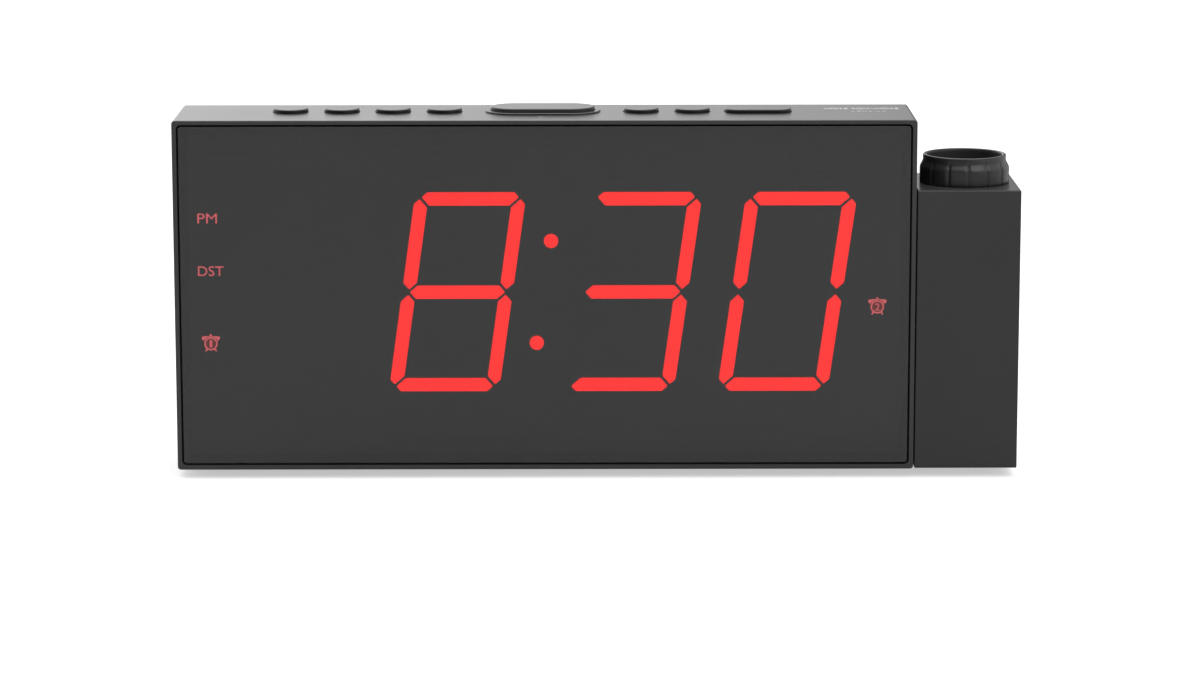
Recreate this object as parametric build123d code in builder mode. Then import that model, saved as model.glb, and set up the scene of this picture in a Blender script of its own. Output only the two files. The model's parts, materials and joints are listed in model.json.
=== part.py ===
from build123d import *
from math import radians, tan
import os

# Bedside alarm clock with a time projector that swivels on its right-hand end.
# Millimetres: X runs along the face, Y from the face to the back, Z up.
# The origin is on the table, under the middle of the whole clock.

os.makedirs("parts", exist_ok=True)

# Clearances
part_gap = 0.5          # free space between neighbours inside the case
seat_gap = 0.2          # a moulded part in its moulded seat
key_gap = 0.2           # round each key where it comes through the top
stop_gap = 0.1          # between a key's flange and the wall that stops it
turn_fit = 0.06         # radial, a shaft that turns or slides in its hole
thread_fit = 0.05       # radial, a screw in its pilot hole
cell_gap = 0.05         # round each light guide in the reflector
swivel_gap = 0.3        # between the case and the projector

# Case
case_width = 177.9
case_height = 85.0
case_depth = 30.6
case_wall = 2.0
case_corner = 0.8       # radius of the long edges that run front to back
face_edge = 0.25        # radius round the face
back_edge = 0.8         # radius round the back
cover_depth = 4.0       # how far the rear cover wraps round the sides
boss_radius = 3.5
boss_inset = 5.0        # from the outside of the case to a screw boss's centre
boss_pilot_depth = 12.0

# Feet
foot_height = 2.2       # that shows under the case
foot_sink = 0.5         # let into the case
foot_edge = 0.5
foot_width = 8.0
foot_side = 18.0        # from the case's end to a foot's centre
foot_from_face = 10.2   # set back from the face
foot_to_seam = 1.0      # from a foot to the rear cover's seam

# Window
bezel_side = 1.08
bezel_top = 1.0
bezel_bottom = 1.16
window_groove = 0.48
window_thickness = 2.0
window_recess = 0.15
window_corner = 0.7
ledge_lap = 2.0         # how far the window overlaps the ledge it is glued to
ledge_thickness = 1.4

# Digits
digit_width = 26.6
digits_below_top = 16.17    # from the window's top edge down to the digits
digits_above_foot = 17.21   # from the window's lower edge up to the digits
leading_from_left = 30.7    # from the case's end to the first digit's middle
minutes_from_right = 30.7   # from the case's other end to the last digit's middle
colon_space = 5.05      # extra pitch across the colon
colon_shift = 0.3       # nearer to the hours than to the minutes
digit_slant = 8.0       # degrees
stroke = 3.2
stroke_gap = 0.5        # from a mitre to each stroke, measured along the stroke
corner_cut = 2.9        # cut off each outer corner
tip_gap = 0.7           # from the middle line to an upright's pointed end
bar_gap = 0.3           # from an upright's centre line to the middle bar's point
stroke_round = 0.25
dot_radius = 1.7
dot_rise = 12.42

# Small indicators, each a light guide: from the case's end, above the middle, width, height
pm_mark = (8.0, 18.64, 4.8, 2.6)
dst_mark = (8.65, 5.84, 6.4, 2.6)
alarm_one_mark = (8.45, -11.9, 4.8, 4.4)
alarm_two_mark = (8.95, -3.18, 4.8, 4.4)

# Display module
reflector_thickness = 6.0
reflector_margin = 3.5  # above and below the digits
guide_depth = 4.6
board_thickness = 1.6
board_post_radius = 2.0
board_post_inset = 2.6  # from the display board's edge to its screws
board_post_span = 60.0  # from the case's middle to the display board's screws
led_width = 1.6
led_height = 1.0
led_length = 1.2        # how far a lamp stands off its board
chip_width = 14.0
chip_height = 10.0
chip_thickness = 1.8
crystal_radius = 1.0
crystal_length = 6.0

# Keys
key_line = 16.8         # from the face to the row of keys
key_size = 8.45
key_pitch = 12.4
key_proud = 0.9
key_travel = 0.6
key_edge = 0.3
key_flange = 1.0
key_flange_lap = 0.7
key_stem_radius = 1.7
long_key_length = 16.0
long_key_corner = 3.2
long_key_space = 15.9   # from the last round key to the long key
snooze_from_left = 88.4
snooze_space = 23.8     # from the snooze bar to the round key on each side
snooze_length = 25.1
snooze_depth = 11.9
snooze_proud = 1.35
plinth_margin = 1.4
plinth_height = 0.45
plinth_edge = 0.2
switch_size = 6.0
switch_height = 3.5
switch_bore_depth = 1.4
stem_entry = 0.5        # how far a stem stands in its switch
key_post_radius = 2.0
key_board_overhang = 3.0
key_board_depth = 10.4

# Power board and sockets
power_board_lift = 3.0  # above the case's floor
power_board_length = 70.0
power_board_from_right = 58.1
power_post_radius = 2.2
power_post_inset = 4.0
jack_width = 9.0
jack_height = 11.0
jack_length = 13.0
jack_bore_radius = 3.15
jack_bore_depth = 10.0
jack_pin_radius = 1.0
jack_axis_height = 6.5
jack_opening_radius = 4.6
jack_from_right = 74.1
usb_width = 13.2
usb_height = 5.8
usb_length = 14.0
usb_shell = 0.35
usb_recess = 0.6
usb_tongue_height = 1.9
usb_tongue_margin = 0.4
usb_tongue_setback = 0.6    # from the shell's mouth
usb_tongue_drop = 1.9       # from the shell's inside top to the tongue's middle
usb_from_right = 48.1
capacitor_radius = 2.5
capacitor_height = 8.0
capacitor_edge = 0.25
capacitor_from_right = 32.1

# Speaker
speaker_from_left = 46.0
speaker_rise = 10.0     # above the case's middle
speaker_radius = 14.0
speaker_flange = 1.2
speaker_flange_width = 1.2
speaker_depth = 5.2
speaker_skin = 0.8
magnet_radius = 8.0
magnet_depth = 4.0
cone_skin = 0.4
cone_dome_radius = 3.2
grille_hole_radius = 0.9
grille_pitch = 3.1
grille_rings = 3
grille_step = 6         # holes in the first ring, and how many more each ring has

# Backup cell and its door
cell_from_left = 130.0
cell_rise = 12.0
cell_radius = 10.0
cell_thickness = 3.2
cell_cap_radius = 8.6
cell_cap_height = 0.6
well_wall = 1.0
door_length = 30.0
door_height = 24.0
door_corner = 2.0
door_thickness = 1.6
door_lap = 1.2          # the rim that the door rests on
door_edge = 0.3
thumb_radius = 4.0
contact_thickness = 0.3
contact_width = 5.0
contact_length = 8.6

# Screws
screw_radius = 1.2
screw_head_radius = 2.3
screw_head_height = 1.4
screw_length = 10.0
board_screw_length = 5.0
small_head_radius = 2.0
small_head_height = 0.9

# Swivel
pivot_rise = 52.0       # above the case's underside
hub_radius = 8.0
hub_bore_radius = 4.5
washer_thickness = 0.5
washer_width = 1.6
retainer_thickness = 1.6
retainer_width = 1.6

# Projector
projector_lift = 0.1    # its underside above the case's underside
projector_height = 67.85
projector_wall = 1.6
projector_edge = 0.5
projector_end_edge = 0.25   # radius round the left and right faces
projector_foot_edge = 0.6   # lets the lower corners swing clear of the table
knob_margin = 1.55      # from the focus ring to the side of the projector
cover_lip = 1.0
cover_lip_depth = 2.0
projector_post_radius = 2.5
projector_post_length = 4.0
projector_post_inset = 2.0     # from the walls inside to a post's centre
projector_screw_length = 5.0
lead_radius = 0.8
lead_gap = 0.3          # from the lead to the projector's side
lead_bend = 2.4
lead_landing = 2.0      # how far the lead reaches over the lamp's board
lead_tail = 12.0        # inside the case

# Lenses and focus ring
lens_radius = 6.4
carrier_wall = 0.8
carrier_length = 10.0
carrier_step = 0.8      # how far the step between the lenses stands in
carrier_drop = 1.0      # its top below the projector's top
tube_wall = 0.8
tube_rise = 2.5
tube_flange = 0.5
tube_flange_thickness = 1.2
skirt_wall = 1.3
skirt_drop = 9.0
cam_depth = 0.65
catch_height = 1.2
catch_width = 0.6
knob_lap = 1.2          # how far the ring covers the hole that it turns in
knob_lift = 0.1
rim_step = 0.87         # the rim is this much slimmer than the knob
rim_wall = 0.8
rim_rise = 6.9          # above the projector's top
bulge_height = 3.5      # the knob is at its widest up to here
shoulder_height = 5.6
mouth_floor = 3.0
groove_count = 14
groove_depth = 0.45
groove_width = 0.6
follower_radius = 0.7
follower_count = 2
focus_travel = 2.0      # up and down from rest
lens_edge = 1.0
lens_crown = 1.2

# Optical parts on their frame, measured down from the projector's top
frame_plate = 1.5
frame_depth = 22.0
lens_shelf = 18.0
image_shelf = 26.5
condenser_shelf = 36.0
lamp_shelf = 54.0
image_width = 15.0
image_depth = 17.0
image_thickness = 1.2
condenser_radius = 7.0
condenser_edge = 1.0
condenser_crown = 2.4
lamp_board_size = 16.0
lamp_radius = 2.5
lamp_height = 3.0
tunnel_wall = 0.8
tunnel_foot_radius = 3.0
shelf_hole_radius = 5.6

# Radii that follow from the lenses outwards
carrier_radius = lens_radius + carrier_wall
tube_bore_radius = carrier_radius + turn_fit
tube_radius = tube_bore_radius + tube_wall
ring_bore_radius = tube_radius + turn_fit
skirt_radius = ring_bore_radius + skirt_wall
ring_hole_radius = skirt_radius + seat_gap
catch_radius = ring_hole_radius + catch_width
knob_radius = ring_hole_radius + knob_lap
rim_radius = knob_radius - rim_step
projector_width = 2 * (knob_radius + knob_margin)

# Places
overall_width = case_width + swivel_gap + projector_width
case_left = -overall_width / 2
case_right = case_left + case_width
case_x = (case_left + case_right) / 2
block_left = case_right + swivel_gap
block_right = block_left + projector_width
block_x = (block_left + block_right) / 2
face_y = -case_depth / 2
base = foot_height
top = base + case_height
case_z = base + case_height / 2
pivot_z = base + pivot_rise
block_bottom = base + projector_lift
block_top = block_bottom + projector_height
block_z = block_bottom + projector_height / 2

inner_width = case_width - 2 * case_wall
inner_height = case_height - 2 * case_wall
seat_width = case_width - 2 * bezel_side
seat_height = case_height - bezel_top - bezel_bottom
seat_z = base + bezel_bottom + seat_height / 2
seat_depth = window_recess + window_thickness
window_width = seat_width - 2 * window_groove
window_height = seat_height - 2 * window_groove
ledge_back = seat_depth + ledge_thickness
cover_inside = case_depth - case_wall
shell_depth = case_depth - cover_depth

reflector_front = seat_depth + seat_gap
reflector_back = reflector_front + reflector_thickness
board_back = reflector_back + board_thickness
swivel_stack = case_wall + washer_thickness + stop_gap + retainer_thickness
reflector_width = case_width - 2 * (swivel_stack + part_gap)
window_foot = seat_z - window_height / 2
digit_height = window_height - digits_below_top - digits_above_foot
digit_pitch = (case_width - leading_from_left - minutes_from_right - colon_space) / 3
reflector_height = digit_height + 2 * reflector_margin
display_z = window_foot + digits_above_foot + digit_height / 2
board_edge = boss_inset + boss_radius + part_gap
board_height = case_height - 2 * board_edge
post_inset = board_edge + board_post_inset

minutes_x = case_right - minutes_from_right
tens_x = minutes_x - digit_pitch
hours_x = tens_x - digit_pitch - colon_space
leading_x = hours_x - digit_pitch
colon_x = (hours_x + tens_x) / 2 - colon_shift

key_y = face_y + key_line
snooze_x = case_left + snooze_from_left
flange_top = top - case_wall - stop_gap
flange_bottom = flange_top - key_flange
switch_top = flange_bottom - key_travel - part_gap
stem_bottom = switch_top - stem_entry
key_board_top = switch_top - switch_height

power_board_z = base + case_wall + power_board_lift
power_board_top = power_board_z + board_thickness
power_board_front = board_back + part_gap
power_board_depth = cover_inside - part_gap - power_board_front
power_board_x = case_right - power_board_from_right
speaker_x = case_left + speaker_from_left
speaker_z = case_z + speaker_rise
cell_x = case_left + cell_from_left
cell_z = case_z + cell_rise
well_floor = case_depth - door_thickness - seat_gap - cell_thickness - contact_thickness


# Planes and shared outlines
def at_depth(depth):
    # upright plane, this far behind the face, seen from the front
    return Plane(origin=(0, face_y + depth, 0), x_dir=(1, 0, 0), z_dir=(0, -1, 0))


def at_x(x):
    # upright plane across the clock; its first axis runs to the back
    return Plane(origin=(x, 0, 0), x_dir=(0, 1, 0), z_dir=(1, 0, 0))


def save(piece, name):
    piece.part.label = name
    export_step(piece.part, "parts/" + name + ".step")


boss_places = []
for side in (case_left + boss_inset, case_right - boss_inset):
    for height in (base + boss_inset, top - boss_inset):
        boss_places.append((side, height))

post_places = []
for side in (case_x - board_post_span, case_x + board_post_span):
    for height in (base + post_inset, top - post_inset):
        post_places.append((side, height))

foot_length = shell_depth - foot_from_face - foot_to_seam
foot_y = face_y + foot_from_face + foot_length / 2
foot_places = [(case_left + foot_side, foot_y), (case_right - foot_side, foot_y)]

# A digit's outlines about its own centre, upright; the slant is added where they are drawn
half_width = digit_width / 2
half_height = digit_height / 2
upright_x = half_width - stroke / 2
bar_tip = upright_x - bar_gap
cut_in = (corner_cut - stroke_gap) / 2
cut_out = (corner_cut + stroke_gap) / 2
top_bar = [
    (half_width - corner_cut, half_height),
    (half_width - cut_out, half_height - cut_in),
    (half_width - stroke - stroke_gap, half_height - stroke),
    (-(half_width - stroke - stroke_gap), half_height - stroke),
    (-(half_width - cut_out), half_height - cut_in),
    (-(half_width - corner_cut), half_height),
]
upright = [
    (half_width - cut_in, half_height - cut_out),
    (half_width, half_height - corner_cut),
    (half_width, tip_gap + stroke / 2),
    (upright_x, tip_gap),
    (half_width - stroke, tip_gap + stroke / 2),
    (half_width - stroke, half_height - stroke - stroke_gap),
]
middle_bar = [
    (bar_tip, 0),
    (bar_tip - stroke / 2, -stroke / 2),
    (-(bar_tip - stroke / 2), -stroke / 2),
    (-bar_tip, 0),
    (-(bar_tip - stroke / 2), stroke / 2),
    (bar_tip - stroke / 2, stroke / 2),
]
strokes = {
    "a": (top_bar, 1, 1),
    "b": (upright, 1, 1),
    "c": (upright, 1, -1),
    "d": (top_bar, 1, -1),
    "e": (upright, -1, -1),
    "f": (upright, -1, 1),
    "g": (middle_bar, 1, 1),
}
lean = tan(radians(digit_slant))


def stroke_points(digit_x, letter):
    outline, across, up = strokes[letter]
    return [(digit_x + across * u + up * v * lean, display_z + up * v) for u, v in outline]


lit_hours = [(hours_x, letter) for letter in "abcdefg"]
lit_tens = [(tens_x, letter) for letter in "abcdg"]
lit_minutes = [(minutes_x, letter) for letter in "abcdef"]
unlit = [(leading_x, letter) for letter in "abcdefg"]
unlit += [(tens_x, "e"), (tens_x, "f"), (minutes_x, "g")]
every_stroke = lit_hours + lit_tens + lit_minutes + unlit
dot_places = [
    (colon_x + dot_rise * lean, display_z + dot_rise),
    (colon_x - dot_rise * lean, display_z - dot_rise),
]
mark_places = []
for inset, rise, width, height in (pm_mark, dst_mark, alarm_one_mark):
    mark_places.append((case_left + inset, case_z + rise, width, height))
mark_places.append((case_right - alarm_two_mark[0], case_z + alarm_two_mark[1], *alarm_two_mark[2:]))

# Keys in their row: name, place and kind
keys = []
for number, name in enumerate(["time_key", "alarm_one_key", "alarm_two_key", "dst_key"]):
    keys.append((name, snooze_x - snooze_space - (3 - number) * key_pitch, "round"))
keys.append(("snooze_bar", snooze_x, "snooze"))
keys.append(("down_key", snooze_x + snooze_space, "round"))
keys.append(("up_key", snooze_x + snooze_space + key_pitch, "round"))
keys.append(("projection_key", snooze_x + snooze_space + key_pitch + long_key_space, "long"))
key_half = {"round": key_size / 2, "long": long_key_length / 2, "snooze": snooze_length / 2}


def key_face(kind, grow):
    if kind == "round":
        Circle(key_size / 2 + grow)
    elif kind == "long":
        RectangleRounded(long_key_length + 2 * grow, key_size + 2 * grow, long_key_corner + grow)
    else:
        SlotOverall(snooze_length + 2 * grow, snooze_depth + 2 * grow)


# Posts for the key board stand at its ends and in the gaps beside the snooze bar
first_edge = keys[0][1] - key_half["round"] - key_flange_lap
last_edge = keys[-1][1] + key_half["long"] + key_flange_lap
snooze_edge = key_half["snooze"] + key_flange_lap
beside_edge = snooze_space - key_half["round"] - key_flange_lap
post_reach = key_post_radius + part_gap
key_post_xs = [
    first_edge - post_reach,
    snooze_x - (snooze_edge + beside_edge) / 2,
    snooze_x + (snooze_edge + beside_edge) / 2,
    last_edge + post_reach,
]
key_board_left = key_post_xs[0] - key_board_overhang
key_board_right = key_post_xs[-1] + key_board_overhang
power_post_xs = [
    power_board_x - power_board_length / 2 + power_post_inset,
    power_board_x + power_board_length / 2 - power_post_inset,
]
power_post_y = face_y + power_board_front + power_post_inset

# ---------------------------------------------------------------- case

with BuildPart() as front_case:
    with BuildSketch(at_depth(0)):
        with Locations((case_x, case_z)):
            RectangleRounded(case_width, case_height, case_corner)
    extrude(amount=-shell_depth)
    fillet(front_case.faces().sort_by(Axis.Y)[0].edges(), face_edge)
    # hollow behind the ledge, the window's seat, and the opening in the ledge
    with BuildSketch(at_depth(ledge_back)):
        with Locations((case_x, case_z)):
            Rectangle(inner_width, inner_height)
    extrude(amount=-shell_depth, mode=Mode.SUBTRACT)
    with BuildSketch(at_depth(0)):
        with Locations((case_x, seat_z)):
            RectangleRounded(seat_width, seat_height, window_corner + window_groove)
    extrude(amount=-seat_depth, mode=Mode.SUBTRACT)
    with BuildSketch(at_depth(0)):
        with Locations((case_x, seat_z)):
            Rectangle(window_width - 2 * ledge_lap, window_height - 2 * ledge_lap)
    extrude(amount=-(ledge_back + part_gap), mode=Mode.SUBTRACT)
    # bosses for the rear cover's screws, their ends clear of the cover's sides
    with BuildSketch(at_depth(ledge_back)):
        with Locations(*boss_places):
            Circle(boss_radius)
    extrude(amount=-(shell_depth - ledge_back))
    with BuildSketch(at_depth(ledge_back)):
        with Locations(*boss_places):
            Circle(boss_radius)
        with Locations((case_x, case_z)):
            Rectangle(inner_width - 2 * seat_gap, inner_height - 2 * seat_gap, mode=Mode.INTERSECT)
    extrude(amount=-(cover_inside - ledge_back))
    with BuildSketch(at_depth(cover_inside)):
        with Locations(*boss_places):
            Circle(screw_radius + thread_fit)
    extrude(amount=boss_pilot_depth, mode=Mode.SUBTRACT)
    # posts for the display board, each on a web from the nearest wall
    with BuildSketch(at_depth(ledge_back)):
        with Locations(*post_places):
            Circle(board_post_radius)
        for x, z in post_places:
            wall_z = base + case_wall / 2 if z < case_z else top - case_wall / 2
            with Locations((x, (z + wall_z) / 2)):
                Rectangle(board_post_radius, abs(z - wall_z))
    extrude(amount=-(reflector_back - ledge_back))
    with BuildSketch(at_depth(reflector_back)):
        with Locations(*post_places):
            Circle(screw_radius + thread_fit)
    extrude(amount=board_screw_length, mode=Mode.SUBTRACT)
    # raised step round the snooze bar, then the holes for the keys
    with BuildSketch(Plane.XY.offset(top - case_wall / 2)):
        with Locations((snooze_x, key_y)):
            SlotOverall(snooze_length + 2 * plinth_margin, snooze_depth + 2 * plinth_margin)
    extrude(amount=case_wall / 2 + plinth_height)
    fillet(front_case.faces().sort_by(Axis.Z)[-1].edges(), plinth_edge)
    with BuildSketch(Plane.XY.offset(top + plinth_height)):
        for name, x, kind in keys:
            with Locations((x, key_y)):
                key_face(kind, key_gap)
    extrude(amount=-(plinth_height + case_wall + part_gap), mode=Mode.SUBTRACT)
    # posts that hang from the top for the key board
    with BuildSketch(Plane.XY.offset(key_board_top)):
        with Locations(*[(x, key_y) for x in key_post_xs]):
            Circle(key_post_radius)
    extrude(amount=top - case_wall / 2 - key_board_top)
    with BuildSketch(Plane.XY.offset(key_board_top)):
        with Locations(*[(x, key_y) for x in key_post_xs]):
            Circle(screw_radius + thread_fit)
    extrude(amount=board_screw_length - board_thickness, mode=Mode.SUBTRACT)
    # posts on the floor for the power board
    with BuildSketch(Plane.XY.offset(base + case_wall / 2)):
        with Locations(*[(x, power_post_y) for x in power_post_xs]):
            Circle(power_post_radius)
    extrude(amount=power_board_z - base - case_wall / 2)
    with BuildSketch(Plane.XY.offset(power_board_z)):
        with Locations(*[(x, power_post_y) for x in power_post_xs]):
            Circle(screw_radius + thread_fit)
    extrude(amount=-(power_board_z - base - case_wall / 2), mode=Mode.SUBTRACT)
    # hole that the projector's hub turns in
    with BuildSketch(at_x(case_right - case_wall - part_gap)):
        with Locations((0, pivot_z)):
            Circle(hub_radius + turn_fit)
    extrude(amount=case_wall + 2 * part_gap, mode=Mode.SUBTRACT)
    # shallow seats for the feet
    with BuildSketch(Plane.XY.offset(base)):
        with Locations(*foot_places):
            SlotOverall(foot_length + 2 * seat_gap, foot_width + 2 * seat_gap, rotation=90)
    extrude(amount=foot_sink, mode=Mode.SUBTRACT)
save(front_case, "front_case")

grille_places = [(speaker_x, speaker_z)]
for ring in range(1, grille_rings + 1):
    for spot in PolarLocations(ring * grille_pitch, grille_step * ring):
        grille_places.append((speaker_x + spot.position.X, speaker_z + spot.position.Y))

jack_x = case_right - jack_from_right
jack_z = power_board_top + jack_axis_height
usb_x = case_right - usb_from_right
usb_z = power_board_top + usb_height / 2

with BuildPart() as rear_cover:
    with BuildSketch(at_depth(shell_depth)):
        with Locations((case_x, case_z)):
            RectangleRounded(case_width, case_height, case_corner)
    extrude(amount=-cover_depth)
    fillet(rear_cover.faces().sort_by(Axis.Y)[-1].edges(), back_edge)
    with BuildSketch(at_depth(shell_depth)):
        with Locations((case_x, case_z)):
            Rectangle(inner_width, inner_height)
    extrude(amount=-(cover_depth - case_wall), mode=Mode.SUBTRACT)
    # well for the backup cell, sunk from the door's seat
    with BuildSketch(at_depth(well_floor - well_wall)):
        with Locations((cell_x, cell_z)):
            Rectangle(door_length - 2 * door_lap + 2 * well_wall, door_height - 2 * door_lap + 2 * well_wall)
    extrude(amount=-(cover_inside + part_gap - well_floor + well_wall))
    with BuildSketch(at_depth(well_floor)):
        with Locations((cell_x, cell_z)):
            Rectangle(door_length - 2 * door_lap, door_height - 2 * door_lap)
    extrude(amount=-(case_depth - well_floor + part_gap), mode=Mode.SUBTRACT)
    with BuildSketch(at_depth(case_depth - door_thickness)):
        with Locations((cell_x, cell_z)):
            RectangleRounded(door_length + 2 * seat_gap, door_height + 2 * seat_gap, door_corner + seat_gap)
        # hollow for a fingertip under the door's edge
        with Locations((cell_x, cell_z - door_height / 2)):
            Circle(thumb_radius)
    extrude(amount=-(door_thickness + part_gap), mode=Mode.SUBTRACT)
    # grille, sockets and screw holes
    with BuildSketch(at_depth(cover_inside - part_gap)):
        with Locations(*grille_places):
            Circle(grille_hole_radius)
        with Locations((jack_x, jack_z)):
            Circle(jack_opening_radius)
        with Locations((usb_x, usb_z)):
            Rectangle(usb_width + 2 * seat_gap, usb_height + 2 * seat_gap)
        with Locations(*boss_places):
            Circle(screw_radius + seat_gap)
    extrude(amount=-(case_wall + 2 * part_gap), mode=Mode.SUBTRACT)
    with BuildSketch(at_depth(case_depth - screw_head_height)):
        with Locations(*boss_places):
            Circle(screw_head_radius + seat_gap)
    extrude(amount=-(screw_head_height + part_gap), mode=Mode.SUBTRACT)
save(rear_cover, "rear_cover")

with BuildPart() as display_window:
    with BuildSketch(at_depth(window_recess)):
        with Locations((case_x, seat_z)):
            RectangleRounded(window_width, window_height, window_corner)
    extrude(amount=-window_thickness)
save(display_window, "display_window")

with BuildPart() as rubber_feet:
    with BuildSketch():
        with Locations(*foot_places):
            SlotOverall(foot_length, foot_width, rotation=90)
    extrude(amount=base + foot_sink)
    fillet(rubber_feet.edges().group_by(Axis.Z)[0], foot_edge)
save(rubber_feet, "rubber_feet")


# ---------------------------------------------------------------- display module

with BuildPart() as display_reflector:
    with BuildSketch(at_depth(reflector_front)):
        with Locations((case_x, display_z)):
            Rectangle(reflector_width, reflector_height)
    extrude(amount=-reflector_thickness)
    with BuildSketch(at_depth(reflector_front)):
        for digit_x, letter in every_stroke:
            with BuildLine():
                Polyline(*stroke_points(digit_x, letter), close=True)
            make_face()
        with Locations(*dot_places):
            Circle(dot_radius)
        for x, z, width, height in mark_places:
            with Locations((x, z)):
                Rectangle(width, height)
        offset(amount=cell_gap, kind=Kind.INTERSECTION)
    extrude(amount=-reflector_thickness, mode=Mode.SUBTRACT)
save(display_reflector, "display_reflector")

digit_nodes = {
    "hours_segments": lit_hours,
    "tens_segments": lit_tens,
    "minutes_segments": lit_minutes,
    "unlit_segments": unlit,
}
for name, places in digit_nodes.items():
    with BuildPart() as segments:
        with BuildSketch(at_depth(reflector_front)) as faces:
            for digit_x, letter in places:
                with BuildLine():
                    Polyline(*stroke_points(digit_x, letter), close=True)
                make_face()
            fillet(faces.vertices(), stroke_round)
        extrude(amount=-guide_depth)
    save(segments, name)

with BuildPart() as colon_dots:
    with BuildSketch(at_depth(reflector_front)):
        with Locations(*dot_places):
            Circle(dot_radius)
    extrude(amount=-guide_depth)
save(colon_dots, "colon_dots")

with BuildPart() as indicator_guides:
    with BuildSketch(at_depth(reflector_front)):
        for x, z, width, height in mark_places:
            with Locations((x, z)):
                Rectangle(width, height)
    extrude(amount=-guide_depth)
save(indicator_guides, "indicator_guides")

with BuildPart() as display_board:
    with BuildSketch(at_depth(reflector_back)):
        with Locations((case_x, case_z)):
            Rectangle(reflector_width, board_height)
        with Locations(*post_places):
            Circle(screw_radius + seat_gap, mode=Mode.SUBTRACT)
    extrude(amount=-board_thickness)
save(display_board, "display_board")

# one lamp behind the middle of every light guide
led_places = list(dot_places) + [(x, z) for x, z, width, height in mark_places]
for digit_x, letter in every_stroke:
    points = stroke_points(digit_x, letter)
    led_places.append((sum(x for x, z in points) / len(points), sum(z for x, z in points) / len(points)))
with BuildPart() as segment_lamps:
    with BuildSketch(at_depth(reflector_back)):
        with Locations(*led_places):
            Rectangle(led_width, led_height)
    extrude(amount=led_length)
save(segment_lamps, "segment_lamps")

with BuildPart() as clock_chip:
    with BuildSketch(at_depth(board_back)):
        with Locations((case_x, case_z)):
            Rectangle(chip_width, chip_height)
    extrude(amount=-chip_thickness)
save(clock_chip, "clock_chip")

with BuildPart() as crystal:
    crystal_plane = Plane(
        origin=(case_x + chip_width, face_y + board_back + crystal_radius, case_z - crystal_length / 2)
    )
    with BuildSketch(crystal_plane):
        Circle(crystal_radius)
    extrude(amount=crystal_length)
save(crystal, "crystal")

# ---------------------------------------------------------------- keys

with BuildPart() as key_board:
    with BuildSketch(Plane.XY.offset(key_board_top)):
        with Locations(((key_board_left + key_board_right) / 2, key_y)):
            Rectangle(key_board_right - key_board_left, key_board_depth)
        with Locations(*[(x, key_y) for x in key_post_xs]):
            Circle(screw_radius + seat_gap, mode=Mode.SUBTRACT)
    extrude(amount=-board_thickness)
save(key_board, "key_board")

with BuildPart() as key_switches:
    with BuildSketch(Plane.XY.offset(key_board_top)):
        with Locations(*[(x, key_y) for name, x, kind in keys]):
            Rectangle(switch_size, switch_size)
    extrude(amount=switch_height)
    with BuildSketch(Plane.XY.offset(switch_top)):
        with Locations(*[(x, key_y) for name, x, kind in keys]):
            Circle(key_stem_radius + seat_gap)
    extrude(amount=-switch_bore_depth, mode=Mode.SUBTRACT)
save(key_switches, "key_switches")

for name, x, kind in keys:
    proud = snooze_proud if kind == "snooze" else key_proud
    with BuildPart() as key:
        with BuildSketch(Plane.XY.offset(flange_top)):
            with Locations((x, key_y)):
                key_face(kind, 0)
        extrude(amount=top + proud - flange_top)
        fillet(key.faces().sort_by(Axis.Z)[-1].edges(), key_edge)
        with BuildSketch(Plane.XY.offset(flange_bottom)):
            with Locations((x, key_y)):
                key_face(kind, key_flange_lap)
        extrude(amount=key_flange)
        with BuildSketch(Plane.XY.offset(stem_bottom)):
            with Locations((x, key_y)):
                Circle(key_stem_radius)
        extrude(amount=flange_bottom - stem_bottom)
    save(key, name)

# ---------------------------------------------------------------- power board

with BuildPart() as power_board:
    with BuildSketch(Plane.XY.offset(power_board_z)):
        with Locations((power_board_x, face_y + power_board_front + power_board_depth / 2)):
            Rectangle(power_board_length, power_board_depth)
        with Locations(*[(x, power_post_y) for x in power_post_xs]):
            Circle(screw_radius + seat_gap, mode=Mode.SUBTRACT)
    extrude(amount=board_thickness)
save(power_board, "power_board")

with BuildPart() as power_socket:
    with BuildSketch(at_depth(cover_inside)):
        with Locations((jack_x, power_board_top + jack_height / 2)):
            Rectangle(jack_width, jack_height)
    extrude(amount=jack_length)
    with BuildSketch(at_depth(cover_inside)):
        with Locations((jack_x, jack_z)):
            Circle(jack_bore_radius)
            Circle(jack_pin_radius, mode=Mode.SUBTRACT)
    extrude(amount=jack_bore_depth, mode=Mode.SUBTRACT)
save(power_socket, "power_socket")

usb_mouth = case_depth - usb_recess
with BuildPart() as usb_socket:
    with BuildSketch(at_depth(usb_mouth)):
        with Locations((usb_x, usb_z)):
            Rectangle(usb_width, usb_height)
    extrude(amount=usb_length)
    with BuildSketch(at_depth(usb_mouth)):
        with Locations((usb_x, usb_z)):
            Rectangle(usb_width - 2 * usb_shell, usb_height - 2 * usb_shell)
    extrude(amount=usb_length - usb_shell, mode=Mode.SUBTRACT)
save(usb_socket, "usb_socket")

with BuildPart() as usb_tongue:
    with BuildSketch(at_depth(usb_mouth - usb_tongue_setback)):
        with Locations((usb_x, usb_z + usb_height / 2 - usb_shell - usb_tongue_drop)):
            Rectangle(usb_width - 2 * usb_shell - 2 * usb_tongue_margin, usb_tongue_height)
    extrude(amount=usb_length - usb_shell - usb_tongue_setback)
save(usb_tongue, "usb_tongue")

with BuildPart() as capacitors:
    capacitor_y = power_post_y + screw_head_radius + part_gap + capacitor_radius
    pair = (-capacitor_radius - seat_gap, capacitor_radius + seat_gap)
    with BuildSketch(Plane.XY.offset(power_board_top)):
        with Locations(*[(case_right - capacitor_from_right + shift, capacitor_y) for shift in pair]):
            Circle(capacitor_radius)
    extrude(amount=capacitor_height)
    fillet(capacitors.edges().group_by(Axis.Z)[-1], capacitor_edge)
save(capacitors, "capacitors")

# ---------------------------------------------------------------- speaker

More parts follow.
